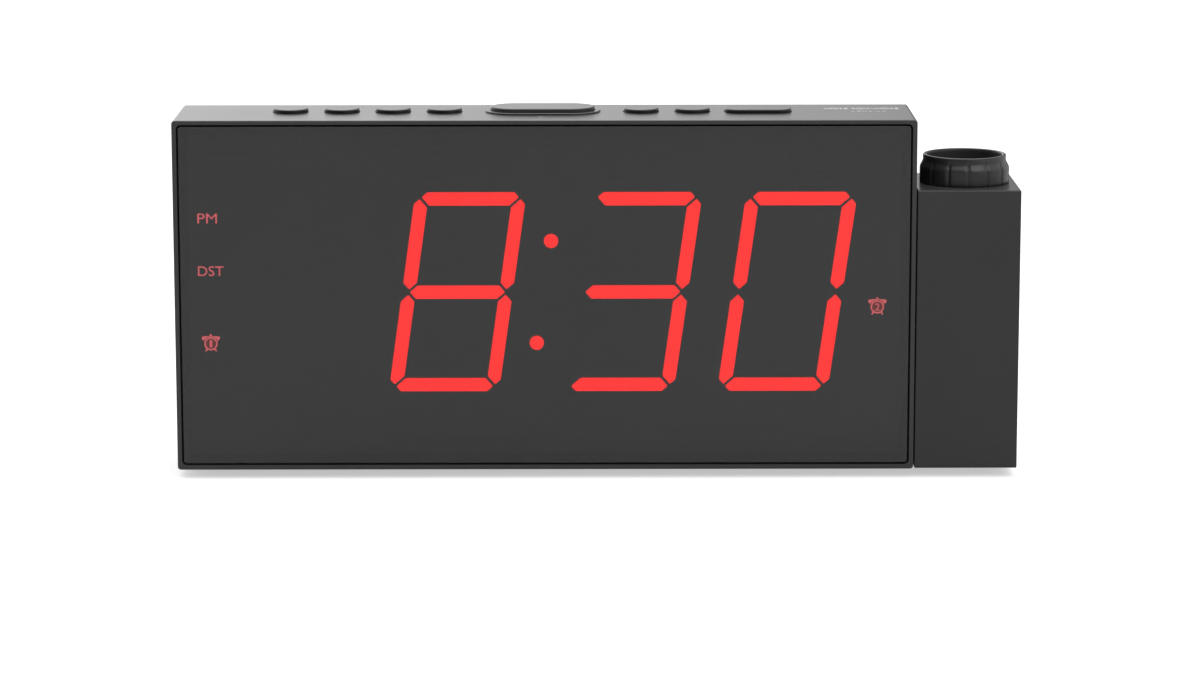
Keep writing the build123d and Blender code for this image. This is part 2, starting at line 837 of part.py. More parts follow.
def speaker_plane():
    # radius across, depth from the cover's inside face up the sketch
    return Plane(origin=(speaker_x, face_y + cover_inside, speaker_z), x_dir=(1, 0, 0), z_dir=(0, 0, 1))


speaker_axis = Axis((speaker_x, 0, speaker_z), (0, 1, 0))
flange_inner = speaker_radius - speaker_flange_width - speaker_skin
basket_end = speaker_flange + speaker_depth
with BuildPart() as speaker_basket:
    with BuildSketch(speaker_plane()):
        with BuildLine():
            Polyline(
                (speaker_radius, 0),
                (speaker_radius, -speaker_flange),
                (flange_inner + speaker_skin, -speaker_flange),
                (magnet_radius, -basket_end),
                (magnet_radius - speaker_skin, -basket_end),
                (flange_inner, -speaker_flange),
                (flange_inner, 0),
                close=True,
            )
        make_face()
    revolve(axis=speaker_axis)
save(speaker_basket, "speaker_basket")

cone_rim = flange_inner - seat_gap
cone_front = speaker_skin + cone_skin
cone_back = basket_end - 2 * cone_skin
with BuildPart() as speaker_cone:
    with BuildSketch(speaker_plane()):
        with BuildLine():
            Polyline(
                (cone_rim, -cone_front + cone_skin),
                (cone_rim, -cone_front),
                (cone_dome_radius + cone_skin, -cone_back),
                (0, -cone_back),
                (0, -cone_back + cone_skin),
                (cone_dome_radius, -cone_back + cone_skin),
                (cone_rim - cone_skin, -cone_front + cone_skin),
                close=True,
            )
        make_face()
    revolve(axis=speaker_axis)
save(speaker_cone, "speaker_cone")

with BuildPart() as speaker_magnet:
    with BuildSketch(at_depth(cover_inside - basket_end)):
        with Locations((speaker_x, speaker_z)):
            Circle(magnet_radius)
    extrude(amount=magnet_depth)
save(speaker_magnet, "speaker_magnet")

# ---------------------------------------------------------------- backup cell and door

with BuildPart() as battery_door:
    with BuildSketch(at_depth(case_depth)):
        with Locations((cell_x, cell_z)):
            RectangleRounded(door_length, door_height, door_corner)
    extrude(amount=door_thickness)
    fillet(battery_door.faces().sort_by(Axis.Y)[-1].edges(), door_edge)
save(battery_door, "battery_door")

cell_front = well_floor + contact_thickness
with BuildPart() as coin_cell:
    with BuildSketch(at_depth(cell_front)):
        with Locations((cell_x, cell_z)):
            Circle(cell_cap_radius)
    extrude(amount=-cell_cap_height)
    with BuildSketch(at_depth(cell_front + cell_cap_height)):
        with Locations((cell_x, cell_z)):
            Circle(cell_radius)
    extrude(amount=-(cell_thickness - cell_cap_height))
save(coin_cell, "coin_cell")

with BuildPart() as cell_contacts:
    with BuildSketch(at_depth(well_floor)):
        with Locations((cell_x, cell_z)):
            Rectangle(contact_length, contact_width)
    extrude(amount=-contact_thickness)
    # the second one stands on the floor beside the cell
    with BuildSketch(at_depth(well_floor)):
        with Locations((cell_x + cell_radius + contact_thickness / 2, cell_z)):
            Rectangle(contact_thickness, contact_width)
    extrude(amount=-(contact_thickness + cell_thickness))
save(cell_contacts, "cell_contacts")

# ---------------------------------------------------------------- screws

with BuildPart() as case_screws:
    with BuildSketch(at_depth(case_depth - screw_head_height)):
        with Locations(*boss_places):
            Circle(screw_head_radius)
    extrude(amount=-(screw_head_height - seat_gap))
    with BuildSketch(at_depth(case_depth - screw_head_height)):
        with Locations(*boss_places):
            Circle(screw_radius)
    extrude(amount=screw_length)
save(case_screws, "case_screws")

with BuildPart() as board_screws:
    with BuildSketch(at_depth(board_back)):
        with Locations(*post_places):
            Circle(screw_head_radius)
    extrude(amount=-screw_head_height)
    with BuildSketch(at_depth(board_back)):
        with Locations(*post_places):
            Circle(screw_radius)
    extrude(amount=board_screw_length)
    with BuildSketch(Plane.XY.offset(key_board_top - board_thickness)):
        with Locations(*[(x, key_y) for x in key_post_xs]):
            Circle(screw_head_radius)
    extrude(amount=-screw_head_height)
    with BuildSketch(Plane.XY.offset(key_board_top - board_thickness)):
        with Locations(*[(x, key_y) for x in key_post_xs]):
            Circle(screw_radius)
    extrude(amount=board_screw_length - part_gap)
    with BuildSketch(Plane.XY.offset(power_board_top)):
        with Locations(*[(x, power_post_y) for x in power_post_xs]):
            Circle(screw_head_radius)
    extrude(amount=screw_head_height)
    with BuildSketch(Plane.XY.offset(power_board_top)):
        with Locations(*[(x, power_post_y) for x in power_post_xs]):
            Circle(screw_radius)
    extrude(amount=-(board_thickness + power_board_lift - part_gap))
save(board_screws, "board_screws")

# ---------------------------------------------------------------- swivel

hub_end = case_right - swivel_stack
with BuildPart() as swivel_washer:
    with BuildSketch(at_x(case_right - case_wall)):
        with Locations((0, pivot_z)):
            Circle(hub_radius + seat_gap + washer_width)
            Circle(hub_radius + turn_fit, mode=Mode.SUBTRACT)
    extrude(amount=-washer_thickness)
save(swivel_washer, "swivel_washer")

with BuildPart() as swivel_retainer:
    with BuildSketch(at_x(hub_end)):
        with Locations((0, pivot_z)):
            Circle(hub_radius + retainer_width)
            Circle(hub_radius, mode=Mode.SUBTRACT)
    extrude(amount=retainer_thickness)
save(swivel_retainer, "swivel_retainer")

# ---------------------------------------------------------------- projector

with BuildPart() as projector_block:
    with BuildSketch(at_x(block_left)) as side:
        with Locations((0, block_z)):
            Rectangle(case_depth, projector_height)
        fillet(side.vertices().group_by(Axis.Y)[-1], projector_edge)
        fillet(side.vertices().group_by(Axis.Y)[0], projector_foot_edge)
    extrude(amount=projector_width)
    fillet(projector_block.faces().sort_by(Axis.X)[0].edges(), projector_end_edge)
    fillet(projector_block.faces().sort_by(Axis.X)[-1].edges(), projector_end_edge)

inner_block_width = projector_width - 2 * projector_wall
inner_block_height = projector_height - 2 * projector_wall
block_shell_depth = case_depth - projector_wall
block_post_inset = projector_wall + projector_post_inset
block_post_places = [
    (block_left + block_post_inset, block_bottom + block_post_inset),
    (block_right - block_post_inset, block_top - block_post_inset),
]

with BuildPart() as projector_case:
    add(projector_block.part)
    split(bisect_by=at_depth(block_shell_depth), keep=Keep.TOP)
    with BuildSketch(at_depth(projector_wall)):
        with Locations((block_x, block_z)):
            Rectangle(inner_block_width, inner_block_height)
    extrude(amount=-case_depth, mode=Mode.SUBTRACT)
    # posts for the cover's screws
    with BuildSketch(at_depth(block_shell_depth - projector_post_length)):
        with Locations(*block_post_places):
            Circle(projector_post_radius)
    extrude(amount=-projector_post_length)
    with BuildSketch(at_depth(block_shell_depth)):
        with Locations(*block_post_places):
            Circle(screw_radius + thread_fit)
    extrude(amount=projector_post_length, mode=Mode.SUBTRACT)
    # hole for the focus ring
    with BuildSketch(Plane.XY.offset(block_top - projector_wall - part_gap)):
        with Locations((block_x, 0)):
            Circle(ring_hole_radius)
    extrude(amount=projector_wall + 2 * part_gap, mode=Mode.SUBTRACT)
    # hollow hub that turns in the case's end wall
    with BuildSketch(at_x(hub_end)):
        with Locations((0, pivot_z)):
            Circle(hub_radius)
    extrude(amount=block_left + projector_wall / 2 - hub_end)
    with BuildSketch(at_x(hub_end)):
        with Locations((0, pivot_z)):
            Circle(hub_bore_radius)
    extrude(amount=block_left + projector_wall + part_gap - hub_end, mode=Mode.SUBTRACT)
save(projector_case, "projector_case")

with BuildPart() as projector_cover:
    add(projector_block.part)
    split(bisect_by=at_depth(block_shell_depth), keep=Keep.BOTTOM)
    with BuildSketch(at_depth(block_shell_depth - cover_lip_depth)):
        with Locations((block_x, block_z)):
            Rectangle(inner_block_width - 2 * seat_gap, inner_block_height - 2 * seat_gap)
            Rectangle(
                inner_block_width - 2 * seat_gap - 2 * cover_lip,
                inner_block_height - 2 * seat_gap - 2 * cover_lip,
                mode=Mode.SUBTRACT,
            )
        with Locations(*block_post_places):
            Circle(projector_post_radius + seat_gap, mode=Mode.SUBTRACT)
    extrude(amount=-cover_lip_depth)
    with BuildSketch(at_depth(block_shell_depth)):
        with Locations(*block_post_places):
            Circle(screw_radius + seat_gap)
    extrude(amount=-(projector_wall + part_gap), mode=Mode.SUBTRACT)
    with BuildSketch(at_depth(case_depth - small_head_height)):
        with Locations(*block_post_places):
            Circle(small_head_radius + seat_gap)
    extrude(amount=-(small_head_height + part_gap), mode=Mode.SUBTRACT)
save(projector_cover, "projector_cover")

with BuildPart() as projector_screws:
    with BuildSketch(at_depth(case_depth - small_head_height)):
        with Locations(*block_post_places):
            Circle(small_head_radius)
    extrude(amount=-(small_head_height - stop_gap))
    with BuildSketch(at_depth(case_depth - small_head_height)):
        with Locations(*block_post_places):
            Circle(screw_radius)
    extrude(amount=projector_screw_length - small_head_height)
save(projector_screws, "projector_screws")

# ---------------------------------------------------------------- optics

lens_axis = Axis((block_x, 0, 0), (0, 0, 1))
lead_x = block_left + projector_wall + lead_gap + lead_radius
frame_width = inner_block_width - 2 * part_gap
frame_front = face_y + projector_wall
tunnel_top = block_top - condenser_shelf - frame_plate
lamp_board_top = block_top - lamp_shelf + board_thickness
with BuildPart() as optics_frame:
    frame_bottom = block_top - lamp_shelf - frame_plate
    with BuildSketch(Plane.XY.offset(frame_bottom)):
        with Locations((block_x, frame_front + frame_plate / 2)):
            Rectangle(frame_width, frame_plate)
    extrude(amount=lamp_shelf + frame_plate - lens_shelf)
    for drop in (lens_shelf, image_shelf, condenser_shelf, lamp_shelf):
        with BuildSketch(Plane.XY.offset(block_top - drop)):
            with Locations((block_x, frame_front + frame_depth / 2)):
                Rectangle(frame_width, frame_depth)
            # notch that lets the lamp's lead pass down the side
            with Locations((lead_x, 0)):
                Rectangle(2 * (lead_radius + part_gap), 2 * (lead_radius + part_gap), mode=Mode.SUBTRACT)
        extrude(amount=-frame_plate)
        if drop != lamp_shelf:
            with BuildSketch(Plane.XY.offset(block_top - drop)):
                with Locations((block_x, 0)):
                    Circle(shelf_hole_radius)
            extrude(amount=-frame_plate, mode=Mode.SUBTRACT)
save(optics_frame, "optics_frame")

with BuildPart() as lamp_board:
    with BuildSketch(Plane.XY.offset(block_top - lamp_shelf)):
        with Locations((block_x, 0)):
            Rectangle(lamp_board_size, lamp_board_size)
    extrude(amount=board_thickness)
save(lamp_board, "lamp_board")

with BuildPart() as projector_lamp:
    with BuildSketch(Plane.XY.offset(lamp_board_top)):
        with Locations((block_x, 0)):
            Circle(lamp_radius)
    extrude(amount=lamp_height + lamp_radius)
    fillet(projector_lamp.edges().group_by(Axis.Z)[-1], lamp_radius - stop_gap)
save(projector_lamp, "projector_lamp")

with BuildPart() as light_tunnel:
    with BuildSketch(Plane.XZ):
        with BuildLine():
            Polyline(
                (block_x + tunnel_foot_radius, lamp_board_top),
                (block_x + tunnel_foot_radius + tunnel_wall, lamp_board_top),
                (block_x + condenser_radius + tunnel_wall, tunnel_top),
                (block_x + condenser_radius, tunnel_top),
                close=True,
            )
        make_face()
    revolve(axis=lens_axis)
save(light_tunnel, "light_tunnel")


def half_lens(z, radius, edge, crown):
    # half section of a lens with a flat foot and a domed top
    swell = (radius * radius + crown * crown) / (2 * crown)
    with BuildLine() as outline:
        Polyline((block_x, z), (block_x + radius, z), (block_x + radius, z + edge))
        RadiusArc((block_x + radius, z + edge), (block_x, z + edge + crown), -swell)
        Line((block_x, z + edge + crown), (block_x, z))
    return outline.edges()


with BuildPart() as condenser_lens:
    with BuildSketch(Plane.XZ):
        make_face(half_lens(block_top - condenser_shelf, condenser_radius, condenser_edge, condenser_crown))
    revolve(axis=lens_axis)
save(condenser_lens, "condenser_lens")

with BuildPart() as image_panel:
    with BuildSketch(Plane.XY.offset(block_top - image_shelf)):
        with Locations((block_x, 0)):
            Rectangle(image_width, image_depth)
    extrude(amount=image_thickness)
save(image_panel, "image_panel")

follower_z = block_top - carrier_drop - carrier_length / 2 + follower_radius
tube_bottom = block_top - lens_shelf
cam_top = follower_z + follower_radius + focus_travel + seat_gap
cam_bottom = follower_z - follower_radius - focus_travel - seat_gap
follower_reach = ring_bore_radius + cam_depth - stop_gap
with BuildPart() as lens_tube:
    with BuildSketch(Plane.XY.offset(tube_bottom)):
        with Locations((block_x, 0)):
            Circle(tube_radius)
    extrude(amount=lens_shelf + tube_rise)
    with BuildSketch(Plane.XY.offset(tube_bottom)):
        with Locations((block_x, 0)):
            Circle(tube_radius + tube_flange)
    extrude(amount=tube_flange_thickness)
    with BuildSketch(Plane.XY.offset(tube_bottom)):
        with Locations((block_x, 0)):
            Circle(tube_bore_radius)
    extrude(amount=lens_shelf + tube_rise, mode=Mode.SUBTRACT)
    # upright slots that keep the lens carrier from turning
    with BuildSketch(Plane.XY.offset(cam_bottom)):
        with Locations((block_x, 0)):
            with PolarLocations(tube_radius, follower_count):
                Rectangle(2 * (tube_wall + part_gap), 2 * (follower_radius + seat_gap))
    extrude(amount=cam_top - cam_bottom, mode=Mode.SUBTRACT)
save(lens_tube, "lens_tube")

carrier_top = block_top - carrier_drop
carrier_bottom = carrier_top - carrier_length
with BuildPart() as lens_carrier:
    with BuildSketch(Plane.XY.offset(carrier_bottom)):
        with Locations((block_x, 0)):
            Circle(carrier_radius)
    extrude(amount=carrier_length)
    # a follower on each side reaches into the focus ring
    with BuildSketch(Plane.YZ.offset(block_x)):
        with Locations((0, follower_z)):
            Circle(follower_radius)
    extrude(amount=follower_reach, both=True)
    # seats for the two lenses, with a step between them
    with BuildSketch(Plane.XY.offset(carrier_top)):
        with Locations((block_x, 0)):
            Circle(lens_radius)
    extrude(amount=-(lens_edge + lens_crown), mode=Mode.SUBTRACT)
    with BuildSketch(Plane.XY.offset(carrier_bottom)):
        with Locations((block_x, 0)):
            Circle(lens_radius)
    extrude(amount=lens_edge + lens_crown, mode=Mode.SUBTRACT)
    with BuildSketch(Plane.XY.offset(carrier_bottom)):
        with Locations((block_x, 0)):
            Circle(lens_radius - carrier_step)
    extrude(amount=carrier_length, mode=Mode.SUBTRACT)
save(lens_carrier, "lens_carrier")

for name, foot_z in (("front_lens", carrier_top - lens_edge - lens_crown), ("rear_lens", carrier_bottom)):
    with BuildPart() as lens:
        with BuildSketch(Plane.XZ):
            make_face(half_lens(foot_z, lens_radius, lens_edge, lens_crown))
        revolve(axis=lens_axis)
    save(lens, name)

# the fluted focus ring: a knob above the projector, a skirt through its top wall, a catch below
knob_foot = block_top + knob_lift
rim_z = block_top + rim_rise
catch_top = block_top - projector_wall - seat_gap
with BuildPart() as focus_ring:
    with BuildSketch(Plane.XZ):
        with BuildLine():
            Polyline(
                (block_x, block_top - skirt_drop),
                (block_x + skirt_radius, block_top - skirt_drop),
                (block_x + skirt_radius, catch_top - catch_height),
                (block_x + catch_radius, catch_top - catch_height),
                (block_x + catch_radius, catch_top),
                (block_x + skirt_radius, catch_top),
                (block_x + skirt_radius, knob_foot),
                (block_x + knob_radius, knob_foot),
                (block_x + knob_radius, knob_foot + bulge_height),
            )
            Spline(
                (block_x + knob_radius, knob_foot + bulge_height),
                (block_x + rim_radius, knob_foot + shoulder_height),
                tangents=((0, 1), (0, 1)),
            )
            Polyline(
                (block_x + rim_radius, knob_foot + shoulder_height),
                (block_x + rim_radius, rim_z),
                (block_x, rim_z),
                (block_x, block_top - skirt_drop),
            )
        make_face()
    revolve(axis=lens_axis)
    # grooves for the fingers, up to the shoulder
    with BuildSketch(Plane.XY.offset(knob_foot)):
        with Locations((block_x, 0)):
            with PolarLocations(knob_radius, groove_count, start_angle=-90):
                Rectangle(2 * groove_depth, groove_width)
    extrude(amount=shoulder_height, mode=Mode.SUBTRACT)
    # bore that turns on the tube, the recess for the carrier's followers, and the open mouth
    with BuildSketch(Plane.XY.offset(block_top - skirt_drop)):
        with Locations((block_x, 0)):
            Circle(ring_bore_radius)
    extrude(amount=skirt_drop + rim_rise, mode=Mode.SUBTRACT)
    with BuildSketch(Plane.XY.offset(cam_bottom)):
        with Locations((block_x, 0)):
            Circle(ring_bore_radius + cam_depth)
    extrude(amount=cam_top - cam_bottom, mode=Mode.SUBTRACT)
    with BuildSketch(Plane.XY.offset(block_top + mouth_floor)):
        with Locations((block_x, 0)):
            Circle(rim_radius - rim_wall)
    extrude(amount=rim_rise - mouth_floor, mode=Mode.SUBTRACT)
save(focus_ring, "focus_ring")

# ---------------------------------------------------------------- projector lead

with BuildPart() as projector_lead:
    with BuildLine() as route:
        FilletPolyline(
            (hub_end - lead_tail, 0, pivot_z),
            (lead_x, 0, pivot_z),
            (lead_x, 0, lamp_board_top + lead_radius),
            (block_x - lamp_board_size / 2 + lead_landing, 0, lamp_board_top + lead_radius),
            radius=lead_bend,
        )
    with BuildSketch(at_x(hub_end - lead_tail)):
        with Locations((0, pivot_z)):
            Circle(lead_radius)
    sweep(path=route.wires()[0])
save(projector_lead, "projector_lead")
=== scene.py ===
import json
import math
import bmesh
import bpy
from mathutils import Matrix, Vector


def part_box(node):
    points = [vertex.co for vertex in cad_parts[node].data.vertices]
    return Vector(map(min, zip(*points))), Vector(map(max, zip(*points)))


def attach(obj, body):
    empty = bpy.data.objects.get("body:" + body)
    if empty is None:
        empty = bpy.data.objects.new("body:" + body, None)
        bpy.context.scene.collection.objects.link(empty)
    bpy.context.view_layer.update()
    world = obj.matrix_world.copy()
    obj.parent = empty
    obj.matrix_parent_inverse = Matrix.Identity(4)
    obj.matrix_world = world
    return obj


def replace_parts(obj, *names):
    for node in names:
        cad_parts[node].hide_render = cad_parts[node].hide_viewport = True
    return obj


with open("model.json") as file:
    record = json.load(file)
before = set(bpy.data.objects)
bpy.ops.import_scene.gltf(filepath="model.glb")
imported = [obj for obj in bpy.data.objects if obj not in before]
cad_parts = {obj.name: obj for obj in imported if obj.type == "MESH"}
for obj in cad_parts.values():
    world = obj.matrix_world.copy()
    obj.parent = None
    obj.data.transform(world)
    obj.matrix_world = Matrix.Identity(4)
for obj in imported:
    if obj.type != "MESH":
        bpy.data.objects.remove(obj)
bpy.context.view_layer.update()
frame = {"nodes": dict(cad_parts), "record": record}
nodes = frame["nodes"]
mm = 0.001
print("frame loaded:", len(nodes), "nodes")


class Signal:
    # a value socket that takes part in Python sums; each sum adds a Math node
    def __init__(self, finish, socket):
        self.finish = finish
        self.socket = socket

    def maths(self, operation, *values):
        sockets = dict(enumerate(values))
        return self.finish.node("Math", {"operation": operation}, sockets)["Value"]

    def __add__(self, other):
        return self.maths("ADD", self, other)

    __radd__ = __add__

    def __sub__(self, other):
        return self.maths("SUBTRACT", self, other)

    def __rsub__(self, other):
        return self.maths("SUBTRACT", other, self)

    def __mul__(self, other):
        return self.maths("MULTIPLY", self, other)

    __rmul__ = __mul__

    def above(self, level):
        return self.maths("GREATER_THAN", self, level)

    def size(self):
        return self.maths("ABSOLUTE", self)

    def largest(self, other):
        return self.maths("MAXIMUM", self, other)


class Outputs:
    # the outputs of one node, by name or number
    def __init__(self, finish, made):
        self.finish = finish
        self.made = made

    def __getitem__(self, name):
        return Signal(self.finish, self.made.outputs[name])


class Finish:
    # one node tree; a material's Principled shader is fed by set()
    socketNames = {
        "colour": "Base Color", "roughness": "Roughness", "metallic": "Metallic",
        "normal": "Normal", "alpha": "Alpha", "coat": "Coat Weight",
        "glow": "Emission Color", "glowStrength": "Emission Strength",
        "specular": "Specular IOR Level",
    }

    def __init__(self, name, tree=None):
        if tree is None:
            self.material = bpy.data.materials.new(name)
            self.material.use_nodes = True
            tree = self.material.node_tree
        self.tree = tree
        self.shader = tree.nodes.get("Principled BSDF")

    def node(self, kind, settings=None, sockets=None):
        made = self.tree.nodes.new("ShaderNode" + kind)
        for name, value in (settings or {}).items():
            setattr(made, name, value)
        for name, value in (sockets or {}).items():
            self.feed(made.inputs[name], value)
        return Outputs(self, made)

    def feed(self, socket, value):
        if isinstance(value, Signal):
            self.tree.links.new(value.socket, socket)
        else:
            socket.default_value = value

    def set(self, **values):
        for name, value in values.items():
            self.feed(self.shader.inputs[self.socketNames[name]], value)

    def place(self, scale=(1, 1, 1), centre=(0, 0, 0)):
        # object coordinates with centre moved to the origin, then scaled
        raw = self.node("TexCoord")["Object"]
        moved = self.node("VectorMath", {"operation": "SUBTRACT"}, {0: raw, 1: centre})["Vector"]
        return self.node("VectorMath", {"operation": "MULTIPLY"}, {0: moved, 1: scale})["Vector"]

    def noise(self, size, detail=2.0, scale=(1, 1, 1), rough=0.5):
        # cloudy noise whose features are about this size
        sockets = {"Vector": self.place(scale), "Scale": 1 / size, "Detail": detail, "Roughness": rough}
        return self.node("TexNoise", {"noise_dimensions": "3D"}, sockets)["Fac"]

    def beyond(self, centre, half):
        # 1 where a point lies outside this upright rectangle, as seen from the front
        spot = self.node("SeparateXYZ", {}, {0: self.place(centre=centre)})
        return spot["X"].size().above(half[0]).largest(spot["Z"].size().above(half[1]))

    def behind(self, depth):
        # 1 where a point lies further back than this
        return self.node("SeparateXYZ", {}, {0: self.place()})["Y"].above(depth)

    def blend(self, factor, first, second):
        # a Mix node's colours are its inputs 6 and 7 and its output 2
        settings = {"data_type": "RGBA", "clamp_factor": True}
        sockets = {0: factor, 6: first, 7: second}
        return self.node("Mix", settings, sockets)[2]

    def bump(self, height, strength, depth):
        sockets = {"Height": height, "Strength": strength, "Distance": depth}
        return self.node("Bump", {}, sockets)["Normal"]


def grey(level):
    return (level, level, level, 1.0)


def shades(colour, spread):
    # the darker and the lighter end of a colour
    return [(*(part * (1 + side * spread) for part in colour[:3]), 1.0) for side in (-1, 1)]


def middleOf(node):
    low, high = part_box(node)
    return (low + high) / 2


# painted shade for the groove round the window, where hardly any light gets in: the case is painted
# near-black there
grooveShadeLook = {"reach": 0.5 * mm, "front": 0.15 * mm, "back": 0.05 * mm, "colour": grey(0.005)}


def grooveShadeMask(finish, look):
    # 1 where the case lies within reach of the window's edge, between the depths of its two faces: where the
    # groove's shade is painted
    low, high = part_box("display_window")
    half = ((high.x - low.x) / 2 + look["reach"], (high.z - low.z) / 2 + look["reach"])
    deep = finish.behind(low.y + look["front"]) - finish.behind(high.y + look["back"])
    return (1 - finish.beyond(tuple(middleOf("display_window")), half)) * deep


# moulded plastic: spark-eroded grain, faint clouding and a polish that wanders
def mouldedFinish(name, look):
    finish = Finish(name)
    grain = finish.noise(look["grain"], detail=3.0, rough=0.65)
    cloud = finish.noise(look["cloud"], detail=3.0)
    colour = finish.blend(cloud, *shades(look["colour"], look["spread"]))
    roughness = look["roughness"] + (cloud - 0.5) * look["wander"]
    # painted shade: in the window's groove the case turns near-black and fully rough
    if look["groove"]:
        shade = grooveShadeMask(finish, grooveShadeLook)
        colour = finish.blend(shade, colour, grooveShadeLook["colour"])
        roughness = roughness.largest(shade)
    finish.set(
        colour=colour,
        roughness=roughness,
        normal=finish.bump(grain, look["bump"], look["depth"]),
        specular=look["specular"],
    )
    return finish.material


# smoked window: see-through by alpha, so that the lit strokes show from behind it
def windowFinish(name, look):
    finish = Finish(name)
    cloud = finish.noise(look["cloud"])
    grain = finish.noise(look["grain"])
    finish.set(
        colour=finish.blend(cloud, *shades(look["colour"], look["spread"])),
        roughness=look["roughness"] + (cloud - 0.5) * look["wander"],
        normal=finish.bump(grain, look["bump"], look["depth"]),
        specular=look["specular"],
        alpha=look["alpha"],
    )
    finish.material.surface_render_method = "BLENDED"
    return finish.material


# cast resin lit from behind, a little brighter in the middle of its grain
def litFinish(name, look):
    finish = Finish(name)
    cloud = finish.noise(look["cloud"])
    finish.set(
        colour=look["colour"],
        roughness=look["roughness"],
        glow=finish.blend(cloud, look["glowDim"], look["glow"]),
        glowStrength=look["strength"],
        specular=look["specular"],
    )
    return finish.material


# drawn or plated metal with a fine directional brushing
def metalFinish(name, look):
    finish = Finish(name)
    brushed = finish.noise(look["grain"], detail=4.0, scale=look["along"], rough=0.7)
    cloud = finish.noise(look["cloud"], detail=3.0)
    finish.set(
        colour=finish.blend(cloud, look["dark"], look["light"]),
        metallic=1.0,
        roughness=look["roughness"] + (brushed - 0.5) * look["wander"],
        normal=finish.bump(brushed, look["bump"], look["depth"]),
    )
    return finish.material


# clear glass or resin, kept see-through by alpha
def clearFinish(name, look):
    finish = Finish(name)
    cloud = finish.noise(look["cloud"])
    finish.set(
        colour=finish.blend(cloud, look["tint"], look["edge"]),
        roughness=look["roughness"] + cloud * look["wander"],
        specular=look["specular"],
        coat=look["coat"],
        alpha=look["alpha"],
    )
    finish.material.surface_render_method = "BLENDED"
    return finish.material


# fibre board under a green mask, with a faint weave and lighter copper runs
def boardFinish(name, look):
    finish = Finish(name)
    weave = finish.noise(look["weave"], detail=1.0, scale=look["along"])
    runs = finish.node("TexBrick", {"offset": 0.5}, {
        "Vector": finish.place(), "Scale": look["runs"], "Color1": look["mask"], "Color2": look["mask"],
        "Mortar": look["copper"], "Mortar Size": look["runWidth"],
    })["Color"]
    finish.set(
        colour=runs,
        roughness=look["roughness"] + weave * look["wander"],
        normal=finish.bump(weave, look["bump"], look["depth"]),
    )
    return finish.material


# what the finishes of one kind share; each finish then gives its own values
mouldedLook = {"spread": 0.06, "wander": 0.05, "grain": 0.3 * mm, "bump": 0.2, "depth": 0.01 * mm,
               "specular": 0.5, "groove": False}
litLook = {"roughness": 0.4, "specular": 0.2}
metalLook = {"wander": 0.2, "cloud": 4 * mm, "bump": 0.25, "depth": 0.01 * mm}
clearLook = {"cloud": 3 * mm, "roughness": 0.04, "wander": 0.03, "specular": 0.8}

